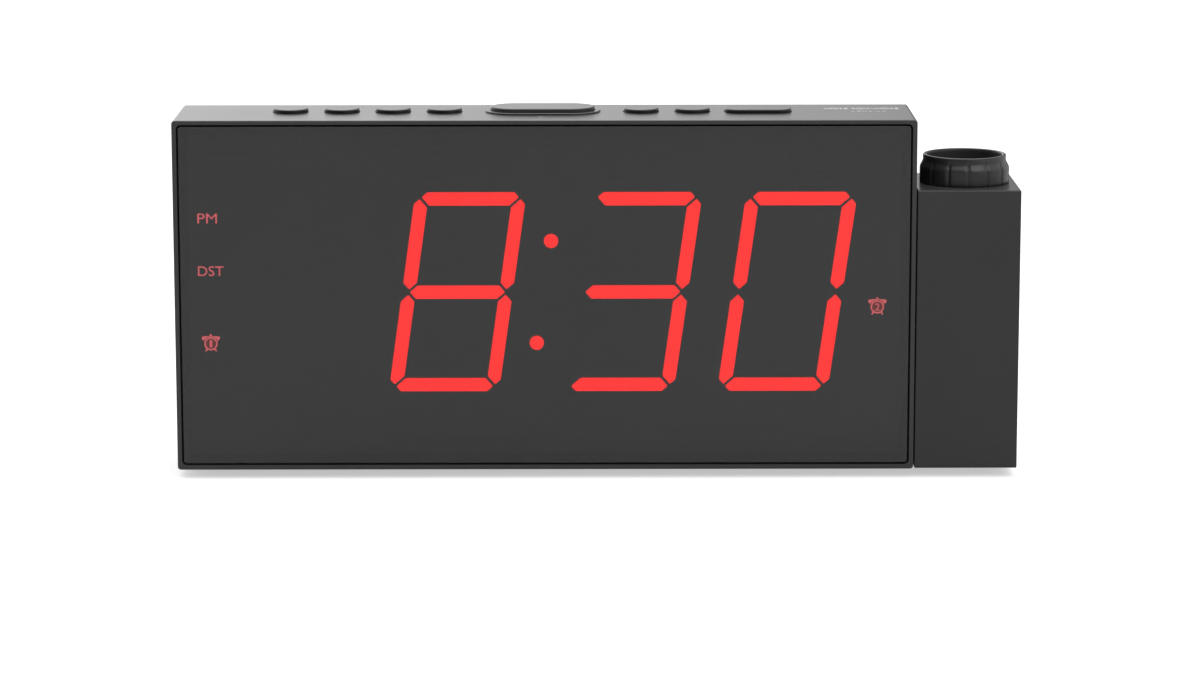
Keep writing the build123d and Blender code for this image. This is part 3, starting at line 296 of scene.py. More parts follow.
looks = {
    "case_plastic": (mouldedFinish, {
        **mouldedLook, "colour": grey(0.0202), "roughness": 0.34, "cloud": 20 * mm,
        # the case also carries the painted shade of the window's groove
        "bump": 0.5, "depth": 0.02 * mm, "groove": True}),
    "key_plastic": (mouldedFinish, {
        **mouldedLook, "colour": grey(0.006), "roughness": 0.32, "cloud": 8 * mm, "specular": 0.35}),
    "ring_plastic": (mouldedFinish, {
        **mouldedLook, "colour": grey(0.0135), "spread": 0.1, "roughness": 0.36, "wander": 0.06,
        "grain": 0.4 * mm, "cloud": 6 * mm, "bump": 0.1, "depth": 0.006 * mm, "specular": 0.42}),
    "part_black": (mouldedFinish, {
        **mouldedLook, "colour": (0.012, 0.012, 0.013, 1), "spread": 0.15, "roughness": 0.5,
        "wander": 0.1, "cloud": 5 * mm, "bump": 0.3, "depth": 0.03 * mm}),
    "reflector_black": (mouldedFinish, {
        **mouldedLook, "colour": grey(0.012), "spread": 0.05, "roughness": 0.8, "cloud": 10 * mm,
        "bump": 0.1, "specular": 0.1}),
    "unlit_smoke": (mouldedFinish, {
        **mouldedLook, "colour": (0.012, 0.011, 0.011, 1), "spread": 0.05, "roughness": 0.8,
        "grain": 0.5 * mm, "cloud": 4 * mm, "bump": 0.05, "specular": 0.1}),
    "foot_rubber": (mouldedFinish, {
        **mouldedLook, "colour": grey(0.02), "spread": 0.2, "roughness": 0.85, "wander": 0.1,
        "grain": 0.2 * mm, "cloud": 4 * mm, "bump": 0.6, "depth": 0.04 * mm, "specular": 0.25}),
    "lead_black": (mouldedFinish, {
        **mouldedLook, "colour": grey(0.018), "spread": 0.1, "roughness": 0.45, "wander": 0.1,
        "grain": 0.4 * mm, "cloud": 3 * mm, "depth": 0.02 * mm}),
    "tunnel_white": (mouldedFinish, {
        **mouldedLook, "colour": (0.72, 0.72, 0.7, 1), "spread": 0.03, "roughness": 0.5, "wander": 0.1,
        "grain": 0.4 * mm, "cloud": 4 * mm, "depth": 0.02 * mm}),
    "cone_paper": (mouldedFinish, {
        **mouldedLook, "colour": (0.045, 0.043, 0.04, 1), "spread": 0.25, "roughness": 0.9, "wander": 0.1,
        "grain": 0.35 * mm, "cloud": 3 * mm, "bump": 0.8, "depth": 0.06 * mm, "specular": 0.2}),
    "lamp_amber": (mouldedFinish, {
        **mouldedLook, "colour": (0.6, 0.45, 0.2, 1), "spread": 0.08, "roughness": 0.3, "wander": 0.1,
        "grain": 0.4 * mm, "cloud": 2 * mm, "bump": 0.1}),
    "window_smoke": (windowFinish, {
        "colour": grey(0.0272), "spread": 0.1, "roughness": 0.3, "wander": 0.06, "specular": 0.5,
        "alpha": 0.8, "cloud": 35 * mm, "grain": 0.6 * mm, "bump": 0.01, "depth": 0.01 * mm}),
    "lit_red": (litFinish, {
        **litLook, "colour": (0.5, 0.02, 0.015, 1), "glow": (1.0, 0.006, 0.004, 1),
        "glowDim": (0.94, 0.004, 0.003, 1), "strength": 27.0, "cloud": 4 * mm}),
    "board_green": (boardFinish, {
        "mask": (0.01, 0.09, 0.03, 1), "copper": (0.03, 0.16, 0.06, 1), "runs": 90.0, "runWidth": 0.03,
        "weave": 0.6 * mm, "along": (1, 1, 4), "roughness": 0.3, "wander": 0.15, "bump": 0.2,
        "depth": 0.03 * mm}),
    "zinc": (metalFinish, {
        **metalLook, "dark": (0.42, 0.42, 0.41, 1), "light": (0.6, 0.6, 0.59, 1), "roughness": 0.32,
        "grain": 0.5 * mm, "along": (1, 1, 1)}),
    "nickel": (metalFinish, {
        **metalLook, "dark": (0.6, 0.58, 0.54, 1), "light": (0.76, 0.74, 0.7, 1), "roughness": 0.24,
        "grain": 0.6 * mm, "along": (1, 12, 1)}),
    "can_metal": (metalFinish, {
        **metalLook, "dark": (0.6, 0.6, 0.61, 1), "light": (0.8, 0.8, 0.81, 1), "roughness": 0.28,
        "grain": 0.5 * mm, "along": (8, 8, 1)}),
    "clear_resin": (clearFinish, {
        **clearLook, "tint": (0.75, 0.77, 0.78, 1), "edge": (0.9, 0.9, 0.88, 1), "coat": 0.0,
        "alpha": 0.5}),
    "lens_glass": (clearFinish, {
        **clearLook, "tint": (0.03, 0.035, 0.05, 1), "edge": (0.05, 0.045, 0.07, 1), "coat": 1.0,
        "alpha": 0.45}),
    "panel_glass": (clearFinish, {
        **clearLook, "tint": (0.05, 0.06, 0.07, 1), "edge": (0.08, 0.09, 0.1, 1), "coat": 0.3,
        "alpha": 0.8}),
}
finishes = {slot: make(slot + "_finish", look) for slot, (make, look) in looks.items()}

# copies of their slot's plastic with painted light and shade: the projector block trades most of its gloss
# for a lighter colour, a painted reflection on its front, so that its top reads darker as in the barrel's
# shade; the snooze bar is painted lighter to lift its shaded front face
paintedLightCopies = {
    # painted reflection on the block's front and painted shade on its top
    "projector_case": mouldedFinish("projectorBlockPaintedShade", {
        **mouldedLook, "colour": grey(0.0405), "roughness": 0.24, "wander": 0.04, "cloud": 20 * mm,
        "specular": 0.08}),
    # painted light on the snooze bar's shaded front face
    "snooze_bar": mouldedFinish("snoozeBarPaintedLight", {
        **mouldedLook, "colour": grey(0.03), "roughness": 0.32, "cloud": 8 * mm, "specular": 0.26}),
}
slotOf = {row["node"]: row["material_slot"] for row in frame["record"]["subparts"]}
for name, node in nodes.items():
    node.data.materials.clear()
    node.data.materials.append(paintedLightCopies.get(name, finishes[slotOf[name]]))
print("finishes made:", len(finishes))


def addPiece(name, bm, body, slot, material=None, smooth=35.0):
    # closes a bmesh into a finished piece that rides on a body
    bmesh.ops.remove_doubles(bm, verts=bm.verts, dist=0.002 * mm)
    bmesh.ops.recalc_face_normals(bm, faces=bm.faces)
    mesh = bpy.data.meshes.new(name)
    bm.to_mesh(mesh)
    bm.free()
    mesh.shade_smooth()
    mesh.set_sharp_from_angle(angle=math.radians(smooth))
    mesh.materials.append(material or finishes[slot])
    piece = bpy.data.objects.new(name, mesh)
    bpy.context.scene.collection.objects.link(piece)
    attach(piece, body)
    return piece


def moveNew(bm, before, matrix):
    # moves the vertices that weren't in before
    fresh = [v for v in bm.verts if v not in before]
    bmesh.ops.transform(bm, matrix=matrix, verts=fresh)


def latheProfile(bm, points, steps):
    # turns (radius, height) points about the Z axis
    verts = [bm.verts.new((radius, 0, height)) for radius, height in points]
    edges = [bm.edges.new(pair) for pair in zip(verts, verts[1:])]
    bmesh.ops.spin(bm, geom=verts + edges, cent=(0, 0, 0), axis=(0, 0, 1), steps=steps,
                   angle=math.tau, use_merge=True)


# flat drawings, made in the XY plane
def drawDisk(bm, radius, spot=(0, 0), steps=24):
    before = set(bm.verts)
    bmesh.ops.create_circle(bm, segments=steps, radius=radius, cap_ends=True)
    moveNew(bm, before, Matrix.Translation((*spot, 0)))


def drawArc(bm, radius, width, first=0.0, last=360.0, spot=(0, 0), steps=32):
    # a strip along an arc, angles in degrees
    before = set(bm.verts)
    ends = [bm.verts.new((radius + side * width / 2, 0, 0)) for side in (-1, 1)]
    edge = bm.edges.new(ends)
    bmesh.ops.spin(bm, geom=ends + [edge], cent=(0, 0, 0), axis=(0, 0, 1), steps=steps,
                   angle=math.radians(last - first), use_merge=last - first == 360)
    moveNew(bm, before, Matrix.Translation((*spot, 0)) @ Matrix.Rotation(math.radians(first), 4, "Z"))


def drawBar(bm, start, end, width):
    before = set(bm.verts)
    along = Vector(end) - Vector(start)
    middle = (Vector(end) + Vector(start)) / 2
    bmesh.ops.create_grid(bm, x_segments=1, y_segments=1, size=0.5)
    turn = Matrix.Rotation(math.atan2(along.y, along.x), 4, "Z")
    size = Matrix.Diagonal((along.length, width, 1, 1))
    moveNew(bm, before, Matrix.Translation(middle.to_3d()) @ turn @ size)


def drawShape(bm, points):
    return bm.faces.new([bm.verts.new((x, y, 0)) for x, y in points])


def drawCross(bm, reach, width, turn=0.0):
    # a cross as one face, its arms as long as reach
    corner = width / 2
    arm = [(corner, corner), (corner, reach), (-corner, reach)]
    points = []
    for quarter in range(4):
        angle = math.radians(90 * quarter + turn)
        cosine, sine = math.cos(angle), math.sin(angle)
        points += [(x * cosine - y * sine, x * sine + y * cosine) for x, y in arm]
    return drawShape(bm, points)


def drawWords(bm, words, width, height, weight=0.0):
    # letters stretched to this width and height, made bolder or finer by weight
    before = set(bm.verts)
    curve = bpy.data.curves.new("words", "FONT")
    curve.body = words
    curve.offset = weight
    curve.resolution_u = 4
    holder = bpy.data.objects.new("words", curve)
    bpy.context.scene.collection.objects.link(holder)
    bpy.context.view_layer.update()
    flat = bpy.data.meshes.new_from_object(holder.evaluated_get(bpy.context.evaluated_depsgraph_get()))
    bpy.data.objects.remove(holder)
    bm.from_mesh(flat)
    fresh = [v for v in bm.verts if v not in before]
    low = Vector([min(v.co[i] for v in fresh) for i in range(2)])
    high = Vector([max(v.co[i] for v in fresh) for i in range(2)])
    size = high - low
    middle = (high + low) / 2
    stretch = Matrix.Diagonal((width / size.x, height / size.y, 1, 1))
    moveNew(bm, before, stretch @ Matrix.Translation((*-middle, 0)))


# where flat drawings stand: the plane's +Z becomes the outward side
upright = Matrix.Rotation(math.radians(90), 4, "X")                 # faces the front
backward = Matrix.Rotation(math.radians(180), 4, "Z") @ upright     # faces the back


def inlay(bm, matrix, thickness):
    # gives a flat drawing its thickness and puts it in place
    made = bmesh.ops.extrude_face_region(bm, geom=bm.faces[:])
    lifted = [v for v in made["geom"] if isinstance(v, bmesh.types.BMVert)]
    bmesh.ops.translate(bm, verts=lifted, vec=(0, 0, thickness))
    bmesh.ops.transform(bm, matrix=matrix, verts=bm.verts[:])


# focus ring: slim rim, bulging shoulder and finger grooves; heights are measured down from the rim
ringLook = {
    "knobRadius": 10.82 * mm, "rimRadius": 10.04 * mm, "rimWall": 0.9 * mm,
    "shoulder": 1.2 * mm, "bulge": 3.3 * mm, "mouthFloor": 3.9 * mm, "foot": 6.87 * mm,
    "skirtRadius": 9.42 * mm, "bore": 8.62 * mm, "boreEdge": 0.06 * mm,
    # how far the rounding of the rim and of the foot reaches from the corner, and where it bends
    "rimReach": 0.208 * mm, "rimBend": 0.065 * mm,
    "footReach": (0.12 * mm, 0.096 * mm), "footBend": (0.036 * mm, 0.03 * mm),
    "wallSteps": 6, "shoulderSteps": 10, "mouthSlack": 0.012 * mm,
    "threadStart": 0.39 * mm, "threadTurns": 7, "thread": 0.1 * mm,
    "sectors": 14, "columns": 20, "crowd": 1.9,
    "grooveDepth": 0.28 * mm, "grooveHalf": 0.6 * mm, "grooveShape": 1.4, "grooveFade": 1.1 * mm,
}


def ringProfile(look, low, top):
    # up the outside, over the rim, down the threaded mouth and down the bore
    knob, rim, skirt, bore = (look[key] for key in ("knobRadius", "rimRadius", "skirtRadius", "bore"))
    foot, bulge = top - look["foot"], top - look["bulge"]
    shoulder, mouthFloor = top - look["shoulder"], top - look["mouthFloor"]
    inner = rim - look["rimWall"]
    reach, bend = look["rimReach"], look["rimBend"]
    footReach, footBend = look["footReach"], look["footBend"]
    wallFoot = foot + footReach[1]
    profile = [(bore, low), (skirt, low), (skirt, foot), (knob - footReach[0], foot),
               (knob - footBend[0], foot + footBend[1]), (knob, wallFoot)]
    for step in range(1, look["wallSteps"] + 1):
        profile.append((knob, wallFoot + (bulge - wallFoot) * step / look["wallSteps"]))
    for step in range(1, look["shoulderSteps"] + 1):
        rise = step / look["shoulderSteps"]
        eased = rise * rise * (3 - 2 * rise)
        profile.append((knob + (rim - knob) * eased, bulge + (shoulder - bulge) * rise))
    profile += [(rim, top - reach), (rim - bend, top - bend), (rim - reach, top),
                (inner + reach, top), (inner + bend, top - bend), (inner, top - reach)]
    threadTop = top - look["threadStart"]
    pitch = (threadTop - mouthFloor) / look["threadTurns"]
    for turn in range(look["threadTurns"]):
        upper = threadTop - pitch * turn
        profile += [(inner, upper), (inner - look["thread"], upper - pitch / 2)]
    profile += [(inner, mouthFloor), (bore + look["boreEdge"], mouthFloor),
                (bore, mouthFloor - look["boreEdge"]), (bore, low)]
    return profile


def sinkGrooves(bm, look, shoulder):
    # crowds the columns towards the grooves and sinks the grooves below the shoulder; one faces the front
    half = math.pi / look["sectors"]
    for v in bm.verts:
        radius = math.hypot(v.co.x, v.co.y)
        angle = math.atan2(v.co.y, v.co.x)
        offset = (angle + math.pi / 2 + half) % (2 * half) - half
        crowded = math.copysign((abs(offset) / half) ** look["crowd"] * half, offset)
        reach = abs(crowded) * look["knobRadius"] / look["grooveHalf"]
        if radius > look["skirtRadius"] + look["boreEdge"] and v.co.z < shoulder and reach < 1:
            fade = min(1.0, (shoulder - v.co.z) / look["grooveFade"])
            radius -= look["grooveDepth"] * math.cos(reach * math.pi / 2) ** look["grooveShape"] * fade
        angle += crowded - offset
        v.co.x = radius * math.cos(angle)
        v.co.y = radius * math.sin(angle)


def addFocusRing(look):
    low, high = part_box("focus_ring")
    centre = middleOf("focus_ring").xy.to_3d()
    bm = bmesh.new()
    latheProfile(bm, ringProfile(look, low.z, high.z), look["sectors"] * look["columns"])
    sinkGrooves(bm, look, high.z - look["shoulder"])
    bmesh.ops.translate(bm, verts=bm.verts[:], vec=centre)
    piece = addPiece("focusRing", bm, "focus_ring", "ring_plastic", smooth=50)
    # the mouth is duller, and the rim is finished as the keys are
    piece.data.materials.append(finishes["part_black"])
    piece.data.materials.append(finishes["key_plastic"])
    mouth = look["rimRadius"] - look["rimWall"] + look["mouthSlack"]
    for face in piece.data.polygons:
        if (face.center - centre).to_2d().length < mouth:
            face.material_index = 1
        elif face.center.z > high.z - look["rimReach"]:
            face.material_index = 2
    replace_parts(piece, "focus_ring")


addFocusRing(ringLook)

# ring that holds the front lens, with two notches for a key
lensRingLook = {"inner": 5.55 * mm, "outer": 6.38 * mm, "height": 0.78 * mm, "sunk": 0.02 * mm,
                "notch": 0.9 * mm, "notchDepth": 0.4 * mm, "edge": 0.1 * mm, "lip": 0.3 * mm, "steps": 96}


def addLensRing(look):
    inner, outer, edge, lip = (look[key] for key in ("inner", "outer", "edge", "lip"))
    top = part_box("lens_carrier")[1].z - look["sunk"]
    foot = top - look["height"]
    bm = bmesh.new()
    profile = [(inner + lip, foot), (outer, foot), (outer, top - edge), (outer - edge, top),
               (inner + edge, top), (inner, top - edge), (inner, foot + lip), (inner + lip, foot)]
    latheProfile(bm, profile, look["steps"])
    for v in bm.verts:
        if abs(v.co.y) < look["notch"] / 2 and v.co.z > top - 2 * edge:
            v.co.z -= look["notchDepth"]
    bmesh.ops.translate(bm, verts=bm.verts[:], vec=middleOf("lens_carrier").xy.to_3d())
    addPiece("lensRing", bm, "lens_carrier", "part_black")


addLensRing(lensRingLook)
print("focus ring made")

# pan-head screws with a cross recess, driven from the back
screwLooks = {
    "case_screws": {
        "name": "caseScrews", "radius": 2.3 * mm, "shank": 1.2 * mm, "length": 11.2 * mm,
        "height": 1.2 * mm, "cross": 1.25 * mm, "body": "case",
        "corners": [(0, 0), (1, 0), (0, 1), (1, 1)]},
    "projector_screws": {
        "name": "projectorScrews", "radius": 2.0 * mm, "shank": 1.2 * mm, "length": 4.1 * mm,
        "height": 0.8 * mm, "cross": 1.1 * mm, "body": "projector",
        "corners": [(0, 0), (1, 1)]},
}
# a head's side in shares of its radius and height, from its flat top down; its cross, which each
# further screw turns on by so many degrees
headLook = {"side": [(0.72, 0.06), (0.9, 0.22), (1, 0.5), (1, 1)], "steps": 36, "crossWidth": 0.34,
            "crossDepth": 0.75, "crossTaper": 0.55, "firstTurn": 20, "nextTurn": 47}


def drawScrew(bm, look, turn):
    # one screw, point down, with the cross sunk into the flat of its head
    radius, height, steps = look["radius"], look["height"], headLook["steps"]
    taper = headLook["crossTaper"]
    side = [(radius * out, -height * down) for out, down in headLook["side"]]
    cross = drawCross(bm, look["cross"], look["cross"] * headLook["crossWidth"], turn)
    crossEdges = list(cross.edges)
    flat = bmesh.ops.create_circle(bm, segments=steps, radius=side[0][0])["verts"]
    flatEdges = list({e for v in flat for e in v.link_edges})
    bmesh.ops.bridge_loops(bm, edges=crossEdges + flatEdges)
    sunk = bmesh.ops.extrude_face_region(bm, geom=[cross])["geom"]
    sunkVerts = [v for v in sunk if isinstance(v, bmesh.types.BMVert)]
    bm.faces.remove(cross)
    bmesh.ops.translate(bm, verts=sunkVerts, vec=(0, 0, -height * headLook["crossDepth"]))
    bmesh.ops.scale(bm, vec=(taper, taper, 1), verts=sunkVerts)
    bmesh.ops.translate(bm, verts=flat, vec=(0, 0, side[0][1]))
    end = -height - look["length"]
    latheProfile(bm, side + [(look["shank"], -height), (look["shank"], end), (0, end)], steps)


def addScrews(node, look):
    # each screw stands in a corner of the node's box, with the top of its head at the box's back
    low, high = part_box(node)
    xs = (low.x + look["radius"], high.x - look["radius"])
    zs = (low.z + look["radius"], high.z - look["radius"])
    bm = bmesh.new()
    for index, (column, row) in enumerate(look["corners"]):
        before = set(bm.verts)
        drawScrew(bm, look, headLook["firstTurn"] + headLook["nextTurn"] * index)
        moveNew(bm, before, Matrix.Translation((xs[column], high.y, zs[row])) @ backward)
    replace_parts(addPiece(look["name"], bm, look["body"], "zinc", smooth=30), node)


for node, look in screwLooks.items():
    addScrews(node, look)
print("screws made")

# small marks that glow behind the window, on their light guides, and the haze inside the alarm marks
markFinish = litFinish("markGlow", {
    **litLook, "colour": (0.3, 0.03, 0.03, 1), "glow": (1.0, 0.15, 0.17, 1),
    "glowDim": (0.85, 0.12, 0.14, 1), "strength": 14.0, "cloud": 3 * mm})
hazeFinish = litFinish("markHaze", {
    **litLook, "colour": (0.2, 0.01, 0.01, 1), "glow": (1.0, 0.03, 0.03, 1),
    "glowDim": (0.85, 0.03, 0.03, 1), "strength": 2.2, "cloud": 3 * mm})
# the haze's radius and the numbers' sizes are shares of the mark's width
markLook = {"thickness": 0.1 * mm, "line": 0.36 * mm, "haze": 0.29, "numberHeight": 0.38}
markLooks = {
    "pmMark": {"words": "PM", "place": (-93.47 * mm, 63.34 * mm), "size": (4.7 * mm, 2.4 * mm)},
    "dstMark": {"words": "DST", "place": (-92.82 * mm, 50.54 * mm), "size": (6.2 * mm, 2.4 * mm)},
    "alarmOneMark": {"number": "1", "numberWidth": 0.13, "place": (-93.1 * mm, 32.8 * mm),
                     "size": (4.6 * mm, 4.4 * mm)},
    "alarmTwoMark": {"number": "2", "numberWidth": 0.24, "place": (67.45 * mm, 41.6 * mm),
                     "size": (4.6 * mm, 4.4 * mm)},
}


def drawAlarm(bm, look, width):
    # a clock face with bells, tip and feet round its number
    line = look["line"]
    drawArc(bm, width * 0.315, line)
    drawWords(bm, look["number"], width * look["numberWidth"], width * look["numberHeight"], weight=0.01)
    bell = [(0.09, 0.41), (0.3, 0.4), (0.46, 0.37), (0.49, 0.29), (0.39, 0.15), (0.32, 0.22), (0.2, 0.33),
            (0.09, 0.37)]
    for side in (-1, 1):
        drawShape(bm, [(side * x * width, y * width) for x, y in bell])
        drawBar(bm, (side * 0.2 * width, -0.29 * width), (side * 0.29 * width, -0.4 * width), line)
    tip = [(-0.09, 0.38), (0, 0.55), (0.09, 0.38)]
    drawShape(bm, [(x * width, y * width) for x, y in tip])


def addMark(name, look):
    x, z = look["place"]
    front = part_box("indicator_guides")[0].y
    place = Matrix.Translation((x, front, z)) @ upright
    width, height = look["size"]
    bm = bmesh.new()
    if "words" in look:
        drawWords(bm, look["words"], width, height)
    else:
        drawAlarm(bm, look, width)
        haze = bmesh.new()
        drawDisk(haze, width * look["haze"])
        inlay(haze, place, look["thickness"] / 2)
        addPiece(name.replace("Mark", "Haze"), haze, "case", "lit_red", material=hazeFinish)
    inlay(bm, place, look["thickness"])
    addPiece(name, bm, "case", "lit_red", material=markFinish)


for name, look in markLooks.items():
    addMark(name, {**markLook, **look})
print("display marks made")

# pale prints: small signs for the keys, a strip of them at the end of the top, and signs at the back
printLook = {**mouldedLook, "spread": 0.12, "wander": 0.1, "grain": 0.2 * mm, "cloud": 0.6 * mm, "bump": 0.3}
printFinish = mouldedFinish("palePrint", {**printLook, "colour": grey(0.7), "roughness": 0.45})
dimPrintFinish = mouldedFinish("dimPrint", {**printLook, "colour": grey(0.2), "roughness": 0.4})
printThickness = 0.02 * mm
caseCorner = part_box("rear_cover")[1]    # its Z is the case's top and its Y the case's back


# signs, each drawn about one unit wide round the origin
def drawClock(bm):
    drawArc(bm, 0.42, 0.1)
    hands = [(-0.05, -0.05), (0.2, -0.05), (0.2, 0.05), (0.05, 0.05), (0.05, 0.27), (-0.05, 0.27)]
    drawShape(bm, hands)


def drawBell(bm, dots=1):
    outline = [(-0.36, -0.2), (0.36, -0.2), (0.26, -0.05), (0.24, 0.2), (0.12, 0.36), (-0.12, 0.36),
               (-0.24, 0.2), (-0.26, -0.05)]
    drawShape(bm, outline)
    drawBar(bm, (-0.1, -0.3), (0.1, -0.3), 0.1)
    for index in range(dots):
        drawDisk(bm, 0.09, (0.6 + 0.26 * index, -0.25), steps=12)


def drawSun(bm):
    drawDisk(bm, 0.19)
    rays = 8
    for ray in range(rays):
        outward = Vector((math.cos(math.tau * ray / rays), math.sin(math.tau * ray / rays)))
        drawBar(bm, outward * 0.29, outward * 0.46, 0.08)


def drawMoon(bm):
    # a wide arc outside, and back along a smaller arc whose middle lies to the right
    outerSteps, innerSteps = 12, 10
    points = []
    for step in range(outerSteps + 1):
        angle = math.radians(40 + 280 * step / outerSteps)
        points.append((0.42 * math.cos(angle), 0.42 * math.sin(angle)))
    for step in range(1, innerSteps):
        angle = math.radians(297 - 234 * step / innerSteps)
        points.append((0.16 + 0.32 * math.cos(angle), 0.32 * math.sin(angle)))
    drawShape(bm, points)


def drawPlus(bm):
    drawCross(bm, 0.36, 0.13)


def drawMinus(bm):
    drawBar(bm, (-0.36, 0), (0.36, 0), 0.13)


def drawBeam(bm):
    # a lens that throws rays
    drawArc(bm, 0.2, 0.1, spot=(-0.32, 0), steps=20)
    for rise in (-1, 0, 1):
        drawBar(bm, (0.02, rise * 0.1), (0.46, rise * 0.32), 0.08)


def putSign(bm, draw, size, spot, stretch=1.0):
    # draws a sign, scales it to this size and moves it to its spot
    before = set(bm.verts)
    draw(bm)
    moveNew(bm, before, Matrix.Translation((*spot, 0)) @ Matrix.Diagonal((size, size * stretch, 1, 1)))


topLook = {"row": -8.6 * mm, "size": 2.3 * mm}
keySigns = {
    "time_key": drawClock, "alarm_one_key": drawBell, "alarm_two_key": lambda bm: drawBell(bm, dots=2),
    "dst_key": drawSun, "snooze_bar": drawMoon, "down_key": drawMinus, "up_key": drawPlus,
    "projection_key": drawBeam,
}


def addKeySigns(look):
    bm = bmesh.new()
    for node, draw in keySigns.items():
        putSign(bm, draw, look["size"], (middleOf(node).x, look["row"]))
    inlay(bm, Matrix.Translation((0, 0, caseCorner.z)), printThickness)
    addPiece("keySigns", bm, "case", "case_plastic", material=dimPrintFinish)


addKeySigns(topLook)

stripSigns = [drawBeam, drawClock, drawSun, drawMoon, drawPlus, drawClock, drawBeam, drawMinus]
stripLooks = [
    {"left": 56.3 * mm, "right": 73.3 * mm, "row": 6.4 * mm, "size": 1.75 * mm, "stretch": 1.9,
     "count": 12, "first": 0, "skip": 1},
    {"left": 62.0 * mm, "right": 69.5 * mm, "row": 1.2 * mm, "size": 1.2 * mm, "stretch": 1.0,
     "count": 6, "first": 2, "skip": 3},
]


def addCornerStrip(rows):
    # lines of small signs, taken in turn from the list
    bm = bmesh.new()
    for look in rows:
        for index in range(look["count"]):
            x = look["left"] + (look["right"] - look["left"]) * index / (look["count"] - 1)
            draw = stripSigns[(look["first"] + look["skip"] * index) % len(stripSigns)]
            putSign(bm, draw, look["size"], (x, look["row"]), look["stretch"])
    inlay(bm, Matrix.Translation((0, 0, caseCorner.z)), printThickness)
    addPiece("cornerStrip", bm, "case", "case_plastic", material=printFinish)


addCornerStrip(stripLooks)
print("top prints made")

# battery door: ribs for the fingertip and an arrow, on its outer face
doorLook = {"ribs": 6, "ribLength": 11.0 * mm, "ribWidth": 0.5 * mm, "pitch": 1.1 * mm, "taper": 0.05,
            "height": 0.22 * mm, "edge": 0.099 * mm, "fromFoot": 2.6 * mm, "arrow": 2.2 * mm,
            "arrowGap": 1.2 * mm}


def addDoorGrip(look):
    low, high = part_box("battery_door")
    bm = bmesh.new()
    for index in range(look["ribs"]):
        rise = index * look["pitch"]
        half = look["ribLength"] / 2 * (1 - look["taper"] * index)
        drawBar(bm, (-half, rise), (half, rise), look["ribWidth"])
    size = look["arrow"]
    tip = look["ribs"] * look["pitch"] + look["arrowGap"]
    drawShape(bm, [(-size, tip + size), (0, tip), (size, tip + size)])
    place = Matrix.Translation((middleOf("battery_door").x, high.y, low.z + look["fromFoot"]))
    inlay(bm, place @ backward, look["height"])
    tops = [e for e in bm.edges if all(v.co.y > high.y + look["height"] / 2 for v in e.verts)]
    bmesh.ops.bevel(bm, geom=tops, offset=look["edge"], offset_type="OFFSET", segments=2,
                    profile=0.5, affect="EDGES", material=-1)
    addPiece("doorGrip", bm, "battery_door", "case_plastic")


addDoorGrip(doorLook)

# signs at the back, each over its node, drawn in millimetres: inlet polarity, outlet and cell
backLook = {"line": 0.3, "rise": {"power_socket": 3.0, "usb_socket": 3.8, "battery_door": 3.2}}


def drawPolarity(bm, line):
    # a dot in an open ring, a plus on the dot's side and a minus on the ring's
    drawDisk(bm, 0.35)
    drawArc(bm, 1.0, line, 45, 315, steps=24)
    drawBar(bm, (0.35, 0), (2.4, 0), line)
    drawBar(bm, (-2.4, 0), (-1.15, 0), line)
    putSign(bm, drawPlus, 1.9, (3.5, 0))
    putSign(bm, drawMinus, 1.9, (-3.5, 0))


def drawPlug(bm, line):
    drawShape(bm, [(-0.9, -0.8), (0.9, -0.8), (0.9, 0.5), (-0.9, 0.5)])
    for side in (-0.45, 0.45):
        drawBar(bm, (side, 0.55), (side, 1.35), line)
    drawBar(bm, (0, -0.85), (0, -1.7), line)


def drawCell(bm, line):
    drawArc(bm, 1.5, line)
    putSign(bm, drawPlus, 1.9, (0, 0))


backSigns = {"power_socket": drawPolarity, "usb_socket": drawPlug, "battery_door": drawCell}


def addBackSigns(look):
    bm = bmesh.new()
    for node, draw in backSigns.items():
        # drawn as seen from the back, so X runs the other way
        before = set(bm.verts)
        draw(bm, look["line"])
        spot = (-middleOf(node).x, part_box(node)[1].z + look["rise"][node] * mm, 0)
        moveNew(bm, before, Matrix.Translation(spot) @ Matrix.Diagonal((mm, mm, 1, 1)))
    inlay(bm, Matrix.Translation((0, caseCorner.y, 0)) @ backward, printThickness)
    addPiece("backSigns", bm, "case", "case_plastic", material=printFinish)


addBackSigns(backLook)

# raised sign and ring on the coin cell's outer face
cellLook = {"ring": 8.6 * mm, "line": 0.3 * mm, "height": 0.06 * mm, "plus": 6.0 * mm}


def addCellStamp(look):
    middle = middleOf("coin_cell")
    bm = bmesh.new()
    drawArc(bm, look["ring"], look["line"], steps=64)
    putSign(bm, drawPlus, look["plus"], (0, 0))
    place = Matrix.Translation((middle.x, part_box("coin_cell")[1].y, middle.z))
    inlay(bm, place @ backward, look["height"])
    addPiece("cellStamp", bm, "case", "nickel")


addCellStamp(cellLook)

# cloth that keeps dust out of the speaker, just inside the grille
clothLook = {"radius": 12.7 * mm, "inset": 0.05 * mm, "thickness": 0.12 * mm, "thread": 0.32 * mm,
             "dark": grey(0.008), "light": grey(0.035), "roughness": 0.9, "specular": 0.15,
             "bump": 0.6, "depth": 0.05 * mm}


def clothFinish(look):
    finish = Finish("speakerCloth")
    waves = []
    for turn in ("X", "Z"):
        sockets = {"Vector": finish.place(), "Scale": 1 / look["thread"], "Distortion": 0.4, "Detail": 1.0}
        waves.append(finish.node("TexWave", {"bands_direction": turn}, sockets)["Fac"])
    weave = waves[0] * waves[1]
    finish.set(
        colour=finish.blend(weave, look["dark"], look["light"]),
        roughness=look["roughness"],
        specular=look["specular"],
        normal=finish.bump(weave, look["bump"], look["depth"]),
    )
    return finish.material


def addSpeakerCloth(look):
    middle = middleOf("speaker_basket")
    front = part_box("speaker_basket")[1].y - look["inset"] - look["thickness"]
    bm = bmesh.new()
    drawDisk(bm, look["radius"], steps=64)
    inlay(bm, Matrix.Translation((middle.x, front, middle.z)) @ backward, look["thickness"])
    addPiece("speakerCloth", bm, "case", "cone_paper", material=clothFinish(look))


addSpeakerCloth(clothLook)

